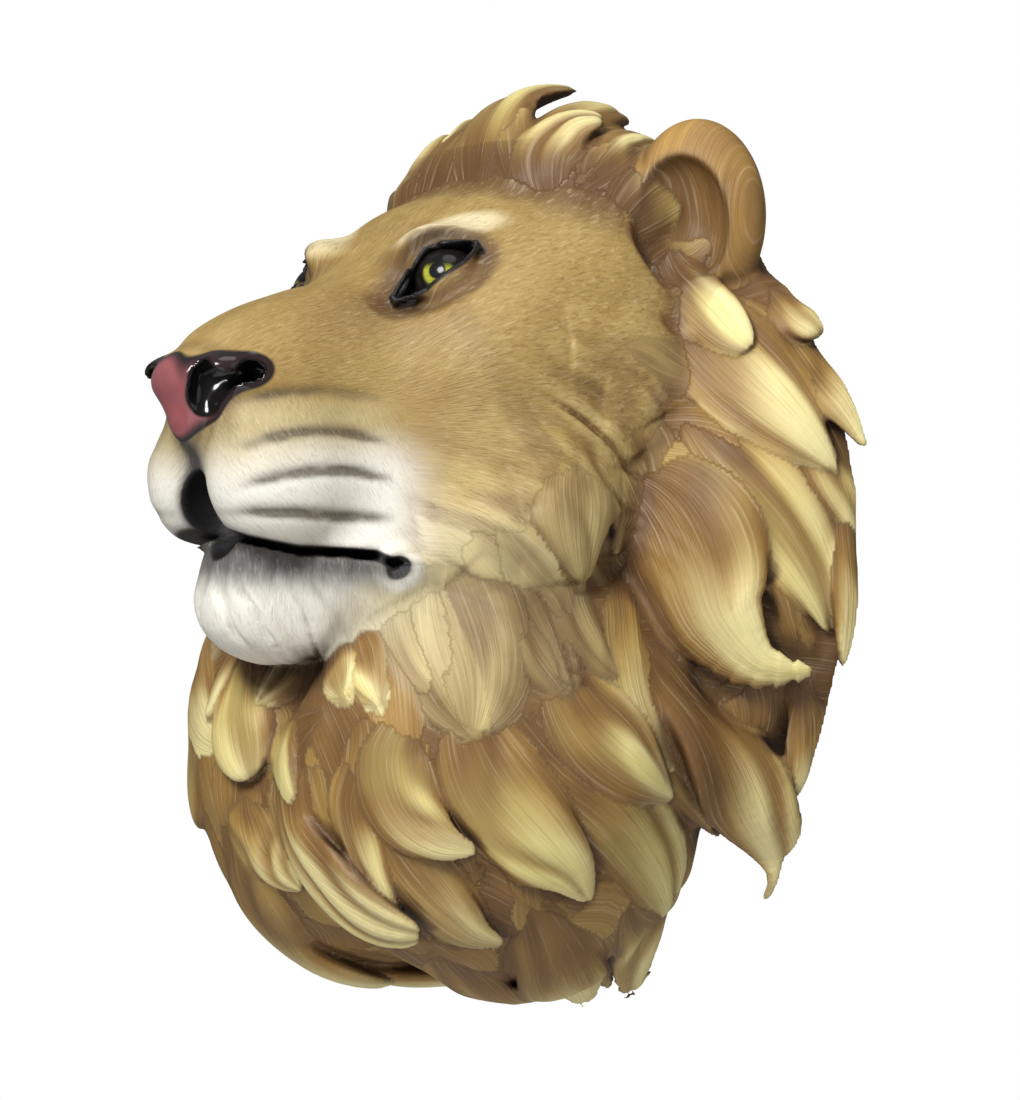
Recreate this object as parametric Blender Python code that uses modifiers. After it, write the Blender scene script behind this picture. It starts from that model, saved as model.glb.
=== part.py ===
"""Lion head wall sculpture: one resin cast of head and mane, hung by a keyhole moulded in its flat back.

Metres, +Z up. The wall is the plane y = 0, the lion looks along -Y and its left side is at +X.
Head, mane and ears are free forms, given in shares of HEIGHT. The hanger keeps its own sizes.
"""

import math

import bmesh
import bpy
import numpy as np
from mathutils import Matrix, Vector

HEIGHT = 0.410  # lowest lock to crest
SHARE = HEIGHT / 410  # the carving's unit: lengths and places below are in shares
CELL = 3.0 * SHARE  # how finely the forms are fused
TRIANGLES = 8200  # facets kept on the carved surface

# Keyhole hanger in the back, for a wall screw
SCREW_HEAD = 0.010
SCREW_SHANK = 0.005
SCREW_PLAY = 0.001  # all round the screw
HANGER_RISE = 0.014  # how far the cast drops on to the screw
HANGER_DEPTH = 0.012
HANGER_LIP = 0.003  # wall left over the screw head
HANGER_PLACE = 0.080  # entry above the origin

# Ellipsoids: centre, radii, pitch in degrees (nose end down). A form off the middle has its pair.
CHEEKS = {
    "cranium": ((0, -55, 95), (80, 75, 64), 0),
    "temple": ((58, -52, 88), (40, 50, 60), 0),
    "cheek": ((48, -92, 75), (44, 56, 50), 0),
    "jowl": ((56, -98, 15), (38, 46, 50), 0),
    "jaw": ((32, -134, -8), (31, 56, 32), 0),
}
FEATURES = {
    "brow": ((41, -128, 124), (22, 17, 13), 0),
    "pad": ((22, -189, 30), (29, 39, 33), 0),
    "flank": ((34, -140, 24), (24, 38, 38), 0),
    "nose": ((0, -222, 69), (21, 20, 14), 0),
    "septum": ((0, -224, 60), (12, 13, 19), 0),
    "wing": ((20, -217, 73), (11, 17, 8), 0),
    "chin": ((0, -188, -20), (26, 29, 27), 0),
}
# Sections of the head from the wall to the nose: distance from it, half width, top, bottom
UPPER_HEAD = (
    (5, 80, 140, -20),
    (50, 90, 157, -40),
    (85, 90, 156, -45),
    (110, 82, 148, -42),
    (130, 66, 132, -36),
    (150, 54, 117, -28),
    (175, 44, 109, -12),
    (198, 38, 101, 4),
    (212, 32, 94, 14),
    (224, 24, 86, 34),
)
LOWER_JAW = (
    (60, 60, 0, -44),
    (120, 52, 0, -46),
    (160, 38, -4, -45),
    (190, 27, 2, -47),
    (212, 18, 3, -34),
)
EAR = {"shell": ((90, -26, 143), (30, 18, 42), 0)}
EAR_CUP = {"cup": ((94, -41, 138), (21, 16, 29), 0)}
EAR_TURN = 35  # degrees outwards
MANE = {
    "ruff": ((0, 0, 15), (150, 70, 150), 0),
    "lobe": ((34, -88, -87), (78, 93, 93), 0),
    "neck": ((0, -20, -115), (52, 60, 82), 0),
    "crest": ((0, -40, 135), (78, 50, 54), 0),
}
HOLLOWS = {
    "eye": ((51, -142, 118), (19, 12, 9), 0),
    "nostril": ((19, -226, 68), (8, 14, 7), 0),
}
EYEBALL = {"ball": ((47, -124, 117), (14, 14, 14), 0)}

# A lock runs over a surface. The places from its root to its tip are directions from the surface's centre:
# clock in degrees from +Z towards +X, polar in degrees from -Y. Then come its half width, how far its root
# and its tip stand off the surface, and how blunt its tip is, from 0 to 1.
MANE_CENTRE = (0, -45, -20)
PAIRED_LOCKS = {
    # side of the ruff, from the top
    "upper": ((33, 93), (48, 94), (61, 97), (72, 102), 18, -4, 12, 0.2),
    "flap": ((31, 94), (39, 93), (46, 93), (52, 94), 11, 3, 18, 1),
    "long": ((54, 90), (67, 93), (80, 98), (97, 105), 16, -4, 10, 0.1),
    "hero": ((60, 84), (83, 88), (96, 90), (101, 94), (101, 98), 28, -4, 26, 0.1),
    "rim": ((72, 105), (82, 107), (92, 108), (102, 107), 14, 2, 16, 0.3),
    "rim_top": ((58, 101), (67, 103), (75, 105), (81, 107), 13, -2, 9, 0),
    "outer": ((50, 102), (58, 103), (65, 104), (70, 104), 11, -4, 20, 0),
    "cup": ((41, 102), (44, 103), (48, 103), (52, 104), 11, -2, 10, 1),
    "point": ((104, 78), (117, 90), (127, 100), (136, 106), (142, 103), 22, -4, 50, 0),
    "point_side": ((108, 70), (116, 77), (123, 86), (138, 102), 14, -4, 17, 0),
    "rim_low": ((105, 104), (112, 106), (119, 107), (126, 106), 12, 7, 25, 0.4),
    # chest
    "fair": ((106, 55), (114, 62), (119, 70), (122, 76), (125, 82), 15, -4, 13, 0.1),
    "mid": ((78, 76), (99, 71), (110, 71), (118, 77), (126, 87), 10, -4, 8, 0),
    "sweep": ((112, 47), (121, 57), (127, 70), (139, 85), (157, 99), 14, -4, 8, 0),
    "bright": ((128, 78), (138, 88), (158, 101), (170, 104), 15, -4, 12, 0.2),
    "low": ((116, 41), (126, 49), (132, 60), (135, 66), (139, 71), 19, -4, 14, 0.1),
    "belly": ((120, 36), (132, 36), (138, 41), (138, 47), (135, 53), 14, -4, 13, 0.2),
    "belly_low": ((143, 38), (147, 45), (149, 53), (150, 59), (149, 64), 15, -4, 10, 0.2),
    "bottom": ((142, 61), (149, 69), (160, 80), (172, 94), 18, -4, 20, 0.1),
    "bottom_left": ((158, 57), (163, 65), (168, 74), (176, 88), 16, -4, 20, 0.3),
    "foot": ((143, 79), (153, 90), (164, 99), (172, 102), 17, 0, 14, 0.5),
    "bottom_in": ((141, 70), (150, 79), (162, 91), (173, 99), 14, -4, 9, 0),
    # crest and hairline
    "second": ((12, 82), (9, 88), (9, 93), (7, 99), 14, -2, 15, 0.6),
    "second_back": ((14, 85), (12, 90), (12, 95), (12, 101), 13, -2, 9, 0),
    "wave": ((18, 80), (13, 82), (13, 85), (16, 89), 15, -4, 14, 0.5),
    "lower_wave": ((20, 84), (18, 87), (19, 91), (22, 95), 12, -4, 10, 0),
    "tuft_top": ((19, 82), (19, 87), (18, 91), (19, 97), 12, -4, 13, 0.3),
    "tuft_mid": ((25, 85), (25, 89), (24, 94), (22, 99), 13, -4, 16, 0.4),
    "tuft_low": ((28, 88), (28, 93), (30, 97), (33, 100), 12, -4, 12, 0.4),
}
SINGLE_LOCKS = {
    "s_lock": ((146, 24), (170, 27), (174, 36), (164, 43), (157, 49), (152, 54), 15, -4, 15, 0.6),
    "strand": ((133, 33), (149, 36), (153, 42), (155, 52), 9, -4, 12, 0),
    "left_sweep": ((-160, 40), (-160, 50), (-161, 60), (-167, 67), (-173, 72), 18, -4, 10, 0.5),
    "left_inner": ((-165, 33), (-170, 39), (-175, 43), (-179, 46), 12, -4, 7, 0),
    "front_blunt": ((-133, 17), (-150, 21), (-163, 25), (-171, 29), 12, 0, 8, 0.8),
    "far_curl": ((-91, 35), (-109, 37), (-135, 31), (-158, 28), 15, 13, -3, 0.3),
    "far_low": ((-134, 36), (-146, 37), (-149, 41), (-149, 47), 9, -6, -1, 0.2),
    "front_mid": ((-164, 20), (-176, 24), (170, 28), (165, 31), 12, -4, 9, 0.4),
    "throat_left": ((-166, 11), (-166, 13), (-165, 16), (-163, 20), 9, 0, 8, 0),
    "throat": ((124, 15), (127, 18), (129, 21), (131, 25), 8, -3, 6, 0),
    "throat_right": ((112, 20), (116, 24), (120, 27), (124, 31), 8, -3, 6, 0),
    "far_throat": ((-127, 16), (-131, 19), (-134, 22), (-138, 27), 9, 0, 8, 0),
    "top": ((7, 76), (3, 81), (1, 87), (5, 94), 17, -2, 19, 0.4),
    "top_in": ((11, 79), (5, 83), (2, 87), (5, 92), 10, 1, 17, 0),
    "front": ((-2, 74), (-5, 79), (-5, 84), (-1, 90), 16, -2, 10, 0),
    "front_left": ((-10, 74), (-13, 79), (-10, 84), (-6, 89), 15, -2, 8, 0),
    "far": ((-17, 74), (-19, 77), (-19, 80), (-18, 83), 13, 0, 8, 0.2),
}
FACE_CENTRE = (0, -80, 50)
TUFTS = {
    "temple_top": ((69, 89), (73, 99), (78, 107), (87, 112), 10, -3, 7, 0),
    "temple": ((82, 100), (92, 106), (103, 105), (113, 104), 12, -3, 7, 0),
    "temple_back": ((90, 98), (95, 105), (106, 104), (118, 103), 11, -3, 6, 0),
    "cheek_back": ((93, 95), (102, 102), (111, 97), (120, 91), 13, -3, 6, 0),
    "cheek": ((98, 77), (108, 79), (115, 79), (124, 81), 15, -3, 8, 0.2),
    "jowl_inner": ((122, 56), (129, 67), (132, 73), (135, 77), 11, -3, 6, 0),
    "jowl_back": ((117, 63), (124, 72), (129, 77), (134, 78), 14, -3, 7, 0),
    "jowl_gap": ((132, 62), (133, 66), (134, 71), (136, 77), 11, -3, 6, 0.3),
    "jowl_low": ((134, 55), (135, 60), (138, 64), (143, 65), 17, -3, 9, 0.4),
    "jowl_front": ((140, 53), (140, 57), (141, 61), (143, 66), 13, -3, 8, 0.3),
    "chin_side": ((145, 50), (145, 52), (144, 56), (143, 61), 10, -3, 6, 0.2),
    "under": ((126, 77), (130, 79), (132, 82), (134, 86), 13, -4, 4, 0),
}
LOCK_DEPTH = 0.42  # half thickness for each half width
LOCK_KEEL = 5  # more thickness on a lock's underside, which makes it one with what it lies on
LOCK_STEPS = 15  # places along a lock where the surface is felt for

MOUTH_FRONT, MOUTH_CORNER = (0, -224, 11), (43, -150, -10)
MOUTH_CUT = (9.0, 2.8)  # half depth, half height
RESIN = (0.50, 0.33, 0.14)  # the paint's middle tone


def shares(values):
    return Vector(values) * SHARE


def clear_scene():
    for obj in list(bpy.data.objects):
        bpy.data.objects.remove(obj)
    for collection in list(bpy.data.collections):
        bpy.data.collections.remove(collection)


def placing(form, side=1, turn=0):
    """The matrix that makes a unit ball the form, on the lion's left (1) or its right (-1)."""
    (x, y, z), radii, pitch = form
    spin = Matrix.Rotation(math.radians(turn * side), 4, "Z")
    tilt = Matrix.Rotation(math.radians(pitch), 4, "X")
    place = Matrix.Translation(shares((x * side, y, z)))
    return place @ spin @ tilt @ Matrix.Diagonal((*shares(radii), 1))


def both_sides(form):
    return (1, -1) if form[0][0] else (1,)


def add_forms(bm, forms, turn=0, fineness=(32, 20)):
    across, along = fineness
    for form in forms.values():
        for side in both_sides(form):
            bmesh.ops.create_uvsphere(
                bm, u_segments=across, v_segments=along, radius=1, matrix=placing(form, side, turn)
            )


def curve_through(rows):
    """The columns of a table as smooth functions of 0 to 1, by where the first column lies."""
    table = np.array(rows, float)
    knots, slopes = table[:, 0], np.gradient(table[:, 1:], table[:, 0], axis=0)

    def at(s):
        place = knots[0] + (knots[-1] - knots[0]) * s
        i = int(np.clip(np.searchsorted(knots, place) - 1, 0, len(knots) - 2))
        span = knots[i + 1] - knots[i]
        t = (place - knots[i]) / span
        low, high = table[i, 1:], table[i + 1, 1:]
        rise = t * t * (3 - 2 * t)
        ease = (t * (1 - t) ** 2 * slopes[i] - t * t * (1 - t) * slopes[i + 1]) * span
        return (place, *(low + (high - low) * rise + ease))

    return at


def add_loft(bm, rows):
    """A ball drawn into a blunt-ended body along -Y, through its rows of sections."""
    section = curve_through(rows)
    made = bmesh.ops.create_uvsphere(bm, u_segments=48, v_segments=40, radius=1)["verts"]
    for vert in made:
        out, width, top, bottom = section((1 + vert.co.z) / 2)
        ring = math.hypot(vert.co.x, vert.co.y)
        blunt = ring**0.3 / ring if ring > 1e-6 else 0
        across, up = vert.co.x * blunt, vert.co.y * blunt
        vert.co = shares((width * across, -out, (top + bottom) / 2 + (top - bottom) / 2 * up))


def direction(clock, polar):
    c, p = math.radians(clock), math.radians(polar)
    return Vector((math.sin(p) * math.sin(c), -math.cos(p), math.sin(p) * math.cos(c)))


def skin(forms, centre, heading):
    """Where a ray from the centre leaves the forms for good, and the surface's normal there."""
    best = None
    for form in forms.values():
        for side in both_sides(form):
            inverse = placing(form, side).inverted()
            start = inverse @ centre
            step = inverse.to_3x3() @ heading
            a, b, c = step.dot(step), start.dot(step), start.dot(start) - 1
            reach = b * b - a * c
            if reach < 0:
                continue
            far = (math.sqrt(reach) - b) / a
            if best is None or far > best[0]:
                normal = inverse.to_3x3().transposed() @ (start + step * far)
                best = far, normal.normalized()
    return centre + heading * best[0], best[1]


def leaf(blunt):
    """A lock's width along its length: a narrow root, widest past the middle, then a point or a round end."""
    end = 0.85 - 0.45 * blunt
    size = 4.2 * (1 - 0.38 * blunt)
    return lambda s: size * (s + 0.06) ** 1.25 * (1 - s) ** end


def lock_path(forms, centre, row):
    """The lock's middle line as a function of 0 to 1: the point on it and the surface's normal."""
    *stations, _, root_rise, tip_rise, _ = row
    headings = np.array([direction(*station) for station in stations])
    spans = np.linalg.norm(np.diff(headings, axis=0), axis=1)
    knots = np.concatenate([[0], np.cumsum(spans)]) / spans.sum()
    curve = curve_through(np.column_stack([knots, headings]))

    def heading_at(s):
        return Vector(curve(s)[1:]).normalized()

    steps = np.linspace(0, 1, LOCK_STEPS)
    hits = [skin(forms, centre, heading_at(s)) for s in steps]
    reach = np.polyfit(steps, [(point - centre).length for point, _ in hits], 4)
    lean = np.polyfit(steps, [tuple(normal) for _, normal in hits], 3)

    def at(s):
        out = np.polyval(reach, s) + (root_rise + (tip_rise - root_rise) * s**1.5) * SHARE
        normal = Vector([float(np.polyval(lean[:, i], s)) for i in range(3)])
        return centre + heading_at(s) * float(out), normal.normalized()

    return at


def add_sweep(bm, path, half_width, half_depth, profile, side=1, keel=0):
    """A ball drawn out along the path, its section an ellipse that follows the profile and is deeper below."""
    made = bmesh.ops.create_uvsphere(bm, u_segments=12, v_segments=16, radius=1)["verts"]
    frames = {}
    for vert in made:
        s = round((1 + vert.co.z) / 2, 4)
        if s not in frames:
            point, normal = path(s)
            ahead, behind = path(min(1, s + 0.02))[0], path(max(0, s - 0.02))[0]
            across = normal.cross(ahead - behind).normalized()
            frames[s] = point, across, normal
        point, across, normal = frames[s]
        ring = math.hypot(vert.co.x, vert.co.y)
        if ring > 1e-6:
            size = profile(s) * SHARE / ring
            depth = half_depth + (keel if vert.co.y < 0 else 0)
            point = point + across * vert.co.x * half_width * size + normal * vert.co.y * depth * size
        vert.co = (point.x * side, point.y, point.z)
    if side < 0:
        faces = {face for vert in made for face in vert.link_faces}
        bmesh.ops.reverse_faces(bm, faces=list(faces))


def add_locks(bm, forms, centre, locks, sides):
    for row in locks.values():
        path = lock_path(forms, shares(centre), row)
        *_, width, _, _, blunt = row
        for side in sides:
            add_sweep(bm, path, width, width * LOCK_DEPTH, leaf(blunt), side, LOCK_KEEL)


def object_from(bm, name, collection):
    mesh = bpy.data.meshes.new(name)
    bm.to_mesh(mesh)
    bm.free()
    obj = bpy.data.objects.new(name, mesh)
    collection.objects.link(obj)
    return obj


def fused(obj, cell, rounds):
    """Fuses the overlapping shapes of an object into one skin and softens it."""
    remesh = obj.modifiers.new("Fuse", "REMESH")
    remesh.mode = "VOXEL"
    remesh.voxel_size = cell
    soften = obj.modifiers.new("Soften", "SMOOTH")
    soften.factor = 0.5
    soften.iterations = rounds
    graph = bpy.context.evaluated_depsgraph_get()
    return bpy.data.meshes.new_from_object(obj.evaluated_get(graph))


def mouth_line(s):
    """The lip line, from corner to corner round the front of the muzzle."""
    turn = math.pi * (s - 0.5)
    front, corner = shares(MOUTH_FRONT), shares(MOUTH_CORNER)
    ahead = math.cos(turn)
    point = Vector(
        (
            corner.x * math.sin(turn),
            corner.y + (front.y - corner.y) * ahead,
            corner.z + (front.z - corner.z) * ahead**2,
        )
    )
    return point, Vector((math.sin(turn), -math.cos(turn), 0)).normalized()


def material(name, colour, roughness):
    made = bpy.data.materials.new(name)
    made.use_nodes = True
    shader = made.node_tree.nodes["Principled BSDF"]
    shader.inputs["Base Color"].default_value = (*colour, 1)
    shader.inputs["Roughness"].default_value = roughness
    shader.inputs["Metallic"].default_value = 0
    return made


def carved_cast(parts, cutters):
    """Head, ears and mane, fused, with the facets thinned to the number wanted."""
    bm = bmesh.new()
    add_loft(bm, UPPER_HEAD)
    add_loft(bm, LOWER_JAW)
    add_forms(bm, CHEEKS)
    add_forms(bm, FEATURES)
    face = object_from(bm, "face_forms", cutters)
    smooth_face = fused(face, CELL, 16)

    bm = bmesh.new()
    add_forms(bm, MANE)
    add_forms(bm, EAR, EAR_TURN)
    add_locks(bm, MANE, MANE_CENTRE, PAIRED_LOCKS, (1, -1))
    add_locks(bm, MANE, MANE_CENTRE, SINGLE_LOCKS, (1,))
    add_locks(bm, {**CHEEKS, **MANE}, FACE_CENTRE, TUFTS, (1, -1))
    bm.from_mesh(smooth_face)
    whole = object_from(bm, "cast_forms", cutters)
    skinned = fused(whole, CELL, 2)

    cast = bpy.data.objects.new("lion_head", skinned)
    parts.objects.link(cast)
    thin = cast.modifiers.new("Facets", "DECIMATE")
    thin.ratio = TRIANGLES / (2 * len(skinned.polygons))
    thin.use_collapse_triangulate = True
    for helper in (face, whole):
        bpy.data.objects.remove(helper)
    return cast


def cutter(bm, name, cutters):
    obj = object_from(bm, name, cutters)
    obj.hide_render = True
    obj.display_type = "WIRE"
    return obj


def combine(cast, tool, operation="DIFFERENCE"):
    boolean = cast.modifiers.new(tool.name, "BOOLEAN")
    boolean.operation = operation
    boolean.solver = "EXACT"
    boolean.object = tool


def wall_cutter(cutters):
    """All that lies behind the wall plane."""
    size = 2 * HEIGHT
    bm = bmesh.new()
    bmesh.ops.create_cube(bm, size=size, matrix=Matrix.Translation((0, size / 2, 0)))
    return cutter(bm, "wall_side", cutters)


def hollow_cutter(cutters):
    """Ear cups, eye sockets and nostrils."""
    bm = bmesh.new()
    add_forms(bm, EAR_CUP, EAR_TURN, (16, 10))
    add_forms(bm, HOLLOWS, 0, (16, 10))
    return cutter(bm, "hollows", cutters)


def eyeballs(cutters):
    bm = bmesh.new()
    add_forms(bm, EYEBALL, 0, (16, 10))
    return cutter(bm, "eyeballs", cutters)


def mouth_cutter(cutters):
    depth, height = MOUTH_CUT
    bm = bmesh.new()
    add_sweep(bm, mouth_line, height, depth, lambda s: 0.6 + 0.4 * math.sin(math.pi * s))
    return cutter(bm, "mouth_slit", cutters)


def add_keyhole_slot(name, radius, rise, start, depth, cutters):
    """A round hole drawn out upwards by the rise, cut from one distance behind the wall plane to another."""
    bm = bmesh.new()
    lay = Matrix.Rotation(math.pi / 2, 4, "X")
    bmesh.ops.create_cone(
        bm, cap_ends=True, segments=24, radius1=radius, radius2=radius, depth=depth - start, matrix=lay
    )
    for vert in bm.verts:
        vert.co.z += HANGER_PLACE + (rise if vert.co.z > 1e-6 else 0)
        vert.co.y -= (start + depth) / 2
    return cutter(bm, name, cutters)


def keyhole_cutters(cutters):
    """A round entry for the screw's head, a narrow slot above it and room for the head behind the slot."""
    head = SCREW_HEAD / 2 + SCREW_PLAY
    shank = SCREW_SHANK / 2 + SCREW_PLAY
    outside = -HANGER_LIP
    return (
        add_keyhole_slot("hanger_entry", head, 0, outside, HANGER_DEPTH, cutters),
        add_keyhole_slot("hanger_slot", shank, HANGER_RISE, outside, HANGER_DEPTH - SCREW_PLAY, cutters),
        add_keyhole_slot("hanger_room", head, HANGER_RISE, HANGER_LIP, HANGER_DEPTH, cutters),
    )


def main():
    clear_scene()
    parts = bpy.data.collections.new("lion_head_wall_sculpture")
    cutters = bpy.data.collections.new("cutters")
    for collection in (parts, cutters):
        bpy.context.scene.collection.children.link(collection)
    cutters.hide_render = True
    cast = carved_cast(parts, cutters)
    cast.data.materials.append(material("painted_resin", RESIN, 0.55))
    cast.data.shade_smooth()
    tools = [wall_cutter(cutters), hollow_cutter(cutters), mouth_cutter(cutters)]
    for tool in (*tools, *keyhole_cutters(cutters)):
        combine(cast, tool)
    combine(cast, eyeballs(cutters), "UNION")


main()
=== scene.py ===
"""Lion head wall sculpture, dressed: the cast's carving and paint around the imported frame.

The carving is worked out as distances on a grid, in shares of the cast's height, then skinned and painted.
Y is minus the distance from the wall, X runs to the lion's left and Z up.
"""

import math

import bmesh
import bpy
import numpy as np
from mathutils import Matrix, Vector
from mathutils.geometry import tessellate_polygon


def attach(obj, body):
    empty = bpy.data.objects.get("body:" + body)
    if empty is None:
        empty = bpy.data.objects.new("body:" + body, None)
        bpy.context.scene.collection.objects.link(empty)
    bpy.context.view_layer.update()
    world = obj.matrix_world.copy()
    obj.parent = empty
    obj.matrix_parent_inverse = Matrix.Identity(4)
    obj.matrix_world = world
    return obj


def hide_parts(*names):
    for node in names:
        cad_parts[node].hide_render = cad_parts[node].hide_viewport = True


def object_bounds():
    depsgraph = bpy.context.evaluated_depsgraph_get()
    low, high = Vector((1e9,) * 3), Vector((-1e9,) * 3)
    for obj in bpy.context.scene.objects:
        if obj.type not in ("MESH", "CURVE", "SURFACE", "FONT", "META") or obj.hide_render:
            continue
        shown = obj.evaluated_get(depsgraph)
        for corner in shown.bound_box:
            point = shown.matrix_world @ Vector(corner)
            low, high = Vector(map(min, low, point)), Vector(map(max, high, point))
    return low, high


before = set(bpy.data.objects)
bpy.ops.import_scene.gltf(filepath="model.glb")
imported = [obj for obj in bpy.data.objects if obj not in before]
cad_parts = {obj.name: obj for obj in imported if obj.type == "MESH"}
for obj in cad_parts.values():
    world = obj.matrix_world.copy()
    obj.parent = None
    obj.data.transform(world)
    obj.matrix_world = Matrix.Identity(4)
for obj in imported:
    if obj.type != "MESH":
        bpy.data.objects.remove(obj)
CAD_LOW, CAD_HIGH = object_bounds()

CELL = 1.3  # the carving's finest step
COARSE = 3  # cells of the first, coarse look along one of its steps
BAND = 6.5  # depth either side of the coarse surface that is worked out finely
FAR = 30.0
CAST_HEIGHT = 412.2  # shares from the lowest lock to the crest
SHARE = (CAD_HIGH.z - CAD_LOW.z) / CAST_HEIGHT
INSIDE = 0.3  # the carving stays this far within the frame's box
TUCKED = 20  # how much of each side gives way for that

UPPER_HEAD = (
    # distance from the wall, half width, top, bottom
    (5, 80, 140, -20),
    (50, 90, 157, -40),
    (85, 90, 156, -45),
    (110, 82, 148, -42),
    (130, 66, 132, -36),
    (150, 54, 117, -28),
    (175, 44, 109, -12),
    (198, 38, 101, 4),
    (212, 32, 94, 14),
    (224, 24, 86, 34),
)
LOWER_JAW = (
    (60, 60, 0, -44),
    (120, 52, 0, -46),
    (160, 38, -4, -45),
    (190, 27, 2, -47),
    (212, 18, 3, -34),
)
# Ellipsoids: centre, radii, blend with what is there before. A form off the middle has its pair.
CHEEKS = {
    "cranium": ((0, -55, 95), (80, 75, 64), 14),
    "temple": ((58, -52, 88), (40, 50, 60), 14),
    "cheek": ((48, -92, 75), (44, 56, 50), 16),
    "jowl": ((56, -98, 15), (38, 46, 50), 20),
    "jaw": ((32, -134, -8), (31, 56, 32), 16),
}
FEATURES = {
    "brow": ((41, -128, 124), (22, 17, 13), 12),
    "pad": ((22, -189, 30), (29, 39, 33), 7),
    "flank": ((34, -140, 24), (24, 38, 38), 16),
    "nose": ((0, -221, 69), (21, 20, 14), 7),
    "septum": ((0, -223, 60), (12, 13, 19), 5),
    "wing": ((20, -217, 73), (11, 17, 8), 5),
    "chin": ((0, -188, -20), (26, 29, 27), 8),
}
EAR = ((90, -26, 143), (30, 18, 42))
EAR_CUP = ((94, -41, 138), (21, 16, 29))
EAR_TURN = 35
MANE = {
    "ruff": ((0, 0, 15), (150, 70, 150)),
    "lobe": ((34, -88, -87), (78, 93, 93)),
    "neck": ((0, -20, -115), (52, 60, 82)),
    "crest": ((0, -40, 135), (78, 50, 54)),
}
BACKING = ((0, 0, -5), (157, 18, 128))
MANE_CENTRE = (0, -45, -20)
FACE_CENTRE = (0, -80, 50)

# Locks lie on the mane. Clock angle and angle from straight ahead, seen from its centre, at places from
# root to tip; then half width, how far root and tip stand off the mane, how pale it is and how blunt.
# The angles were first worked out by a scratch script from places picked by eye on the photograph, with
# the camera's geometry, and rounded to whole degrees. Many were changed afterwards.
PAIRED_LOCKS = {
    # side of the ruff, from the top
    "upper": ((33, 93), (48, 94), (61, 97), (72, 102), 18, -4, 12, 0.55, 0.3),
    "flap": ((27, 94), (36, 93), (45, 93), (52, 94), 11, 4, 18, 0.65, 0.75),
    "long": ((54, 90), (67, 93), (80, 98), (97, 105), 16, -4, 10, 0.45, 0.25),
    "hero": ((60, 84), (83, 88), (96, 90), (102, 95), (101, 101), 28, -4, 26, 1.0, 0.1),
    "rim": ((72, 105), (82, 107), (92, 108), (102, 107), 14, 2, 16, 0.5, 0.6),
    "rim_top": ((58, 101), (67, 103), (75, 105), (81, 107), 13, -2, 9, 0.3, 0.4),
    "outer": ((50, 102), (58, 103), (65, 104), (70, 104), 11, -4, 20, 0.4, 0.3),
    "cup": ((41, 102), (44, 103), (48, 103), (52, 104), 11, -2, 10, 0.45, 1),
    "point": ((104, 78), (117, 90), (127, 100), (136, 106), (142, 103), 22, -4, 50, 0.65, 0),
    "point_side": ((108, 70), (116, 77), (123, 86), (138, 102), 14, -4, 17, 0.45, 0),
    "rim_low": ((105, 104), (112, 106), (119, 107), (126, 106), 12, 7, 25, 0.5, 0.6),
    # chest
    "fair": ((106, 55), (114, 62), (119, 70), (122, 76), (125, 82), 18, -4, 13, 1.0, 0.1),
    "mid": ((78, 76), (99, 71), (110, 71), (118, 77), (126, 87), 10, -4, 8, 0.55, 0.2),
    "sweep": ((112, 47), (121, 57), (127, 70), (139, 85), (157, 99), 17, -4, 8, 0.6, 0),
    "bright": ((128, 78), (138, 88), (158, 101), (170, 104), 15, -4, 12, 0.7, 0.4),
    "low": ((116, 41), (126, 49), (132, 60), (135, 66), (139, 71), 19, -4, 14, 0.8, 0.2),
    "belly": ((120, 36), (132, 36), (138, 41), (138, 47), (135, 53), 14, -4, 13, 0.9, 0.2),
    "belly_low": ((143, 38), (147, 45), (149, 53), (150, 59), (149, 64), 15, -4, 10, 0.7, 0.3),
    "bottom": ((142, 61), (149, 69), (160, 80), (172, 94), 18, -4, 20, 0.6, 0.6),
    "bottom_left": ((158, 57), (163, 65), (168, 74), (176, 88), 16, -4, 20, 0.6, 0.7),
    "foot": ((143, 79), (153, 90), (164, 99), (172, 102), 17, 0, 14, 0.65, 0.7),
    "bottom_in": ((141, 70), (150, 79), (162, 91), (173, 99), 14, -4, 9, 0.35, 0.4),
    # crest and hairline
    "second": ((12, 82), (9, 88), (9, 93), (7, 99), 14, -2, 15, 0.6, 0.6),
    "second_back": ((14, 85), (12, 90), (12, 95), (12, 101), 13, -2, 9, 0.5, 0),
    "wave": ((18, 80), (13, 82), (13, 85), (16, 89), 15, -4, 14, 0.5, 0.5),
    "lower_wave": ((20, 84), (18, 87), (19, 91), (22, 95), 12, -4, 10, 0.3, 0),
    "tuft_top": ((19, 82), (19, 87), (18, 91), (19, 97), 12, -4, 13, 0.6, 0.3),
    "tuft_mid": ((25, 85), (25, 89), (24, 94), (22, 99), 13, -4, 16, 0.7, 0.4),
    "tuft_low": ((28, 88), (28, 93), (30, 97), (33, 100), 12, -4, 12, 0.55, 0.4),
}
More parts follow.
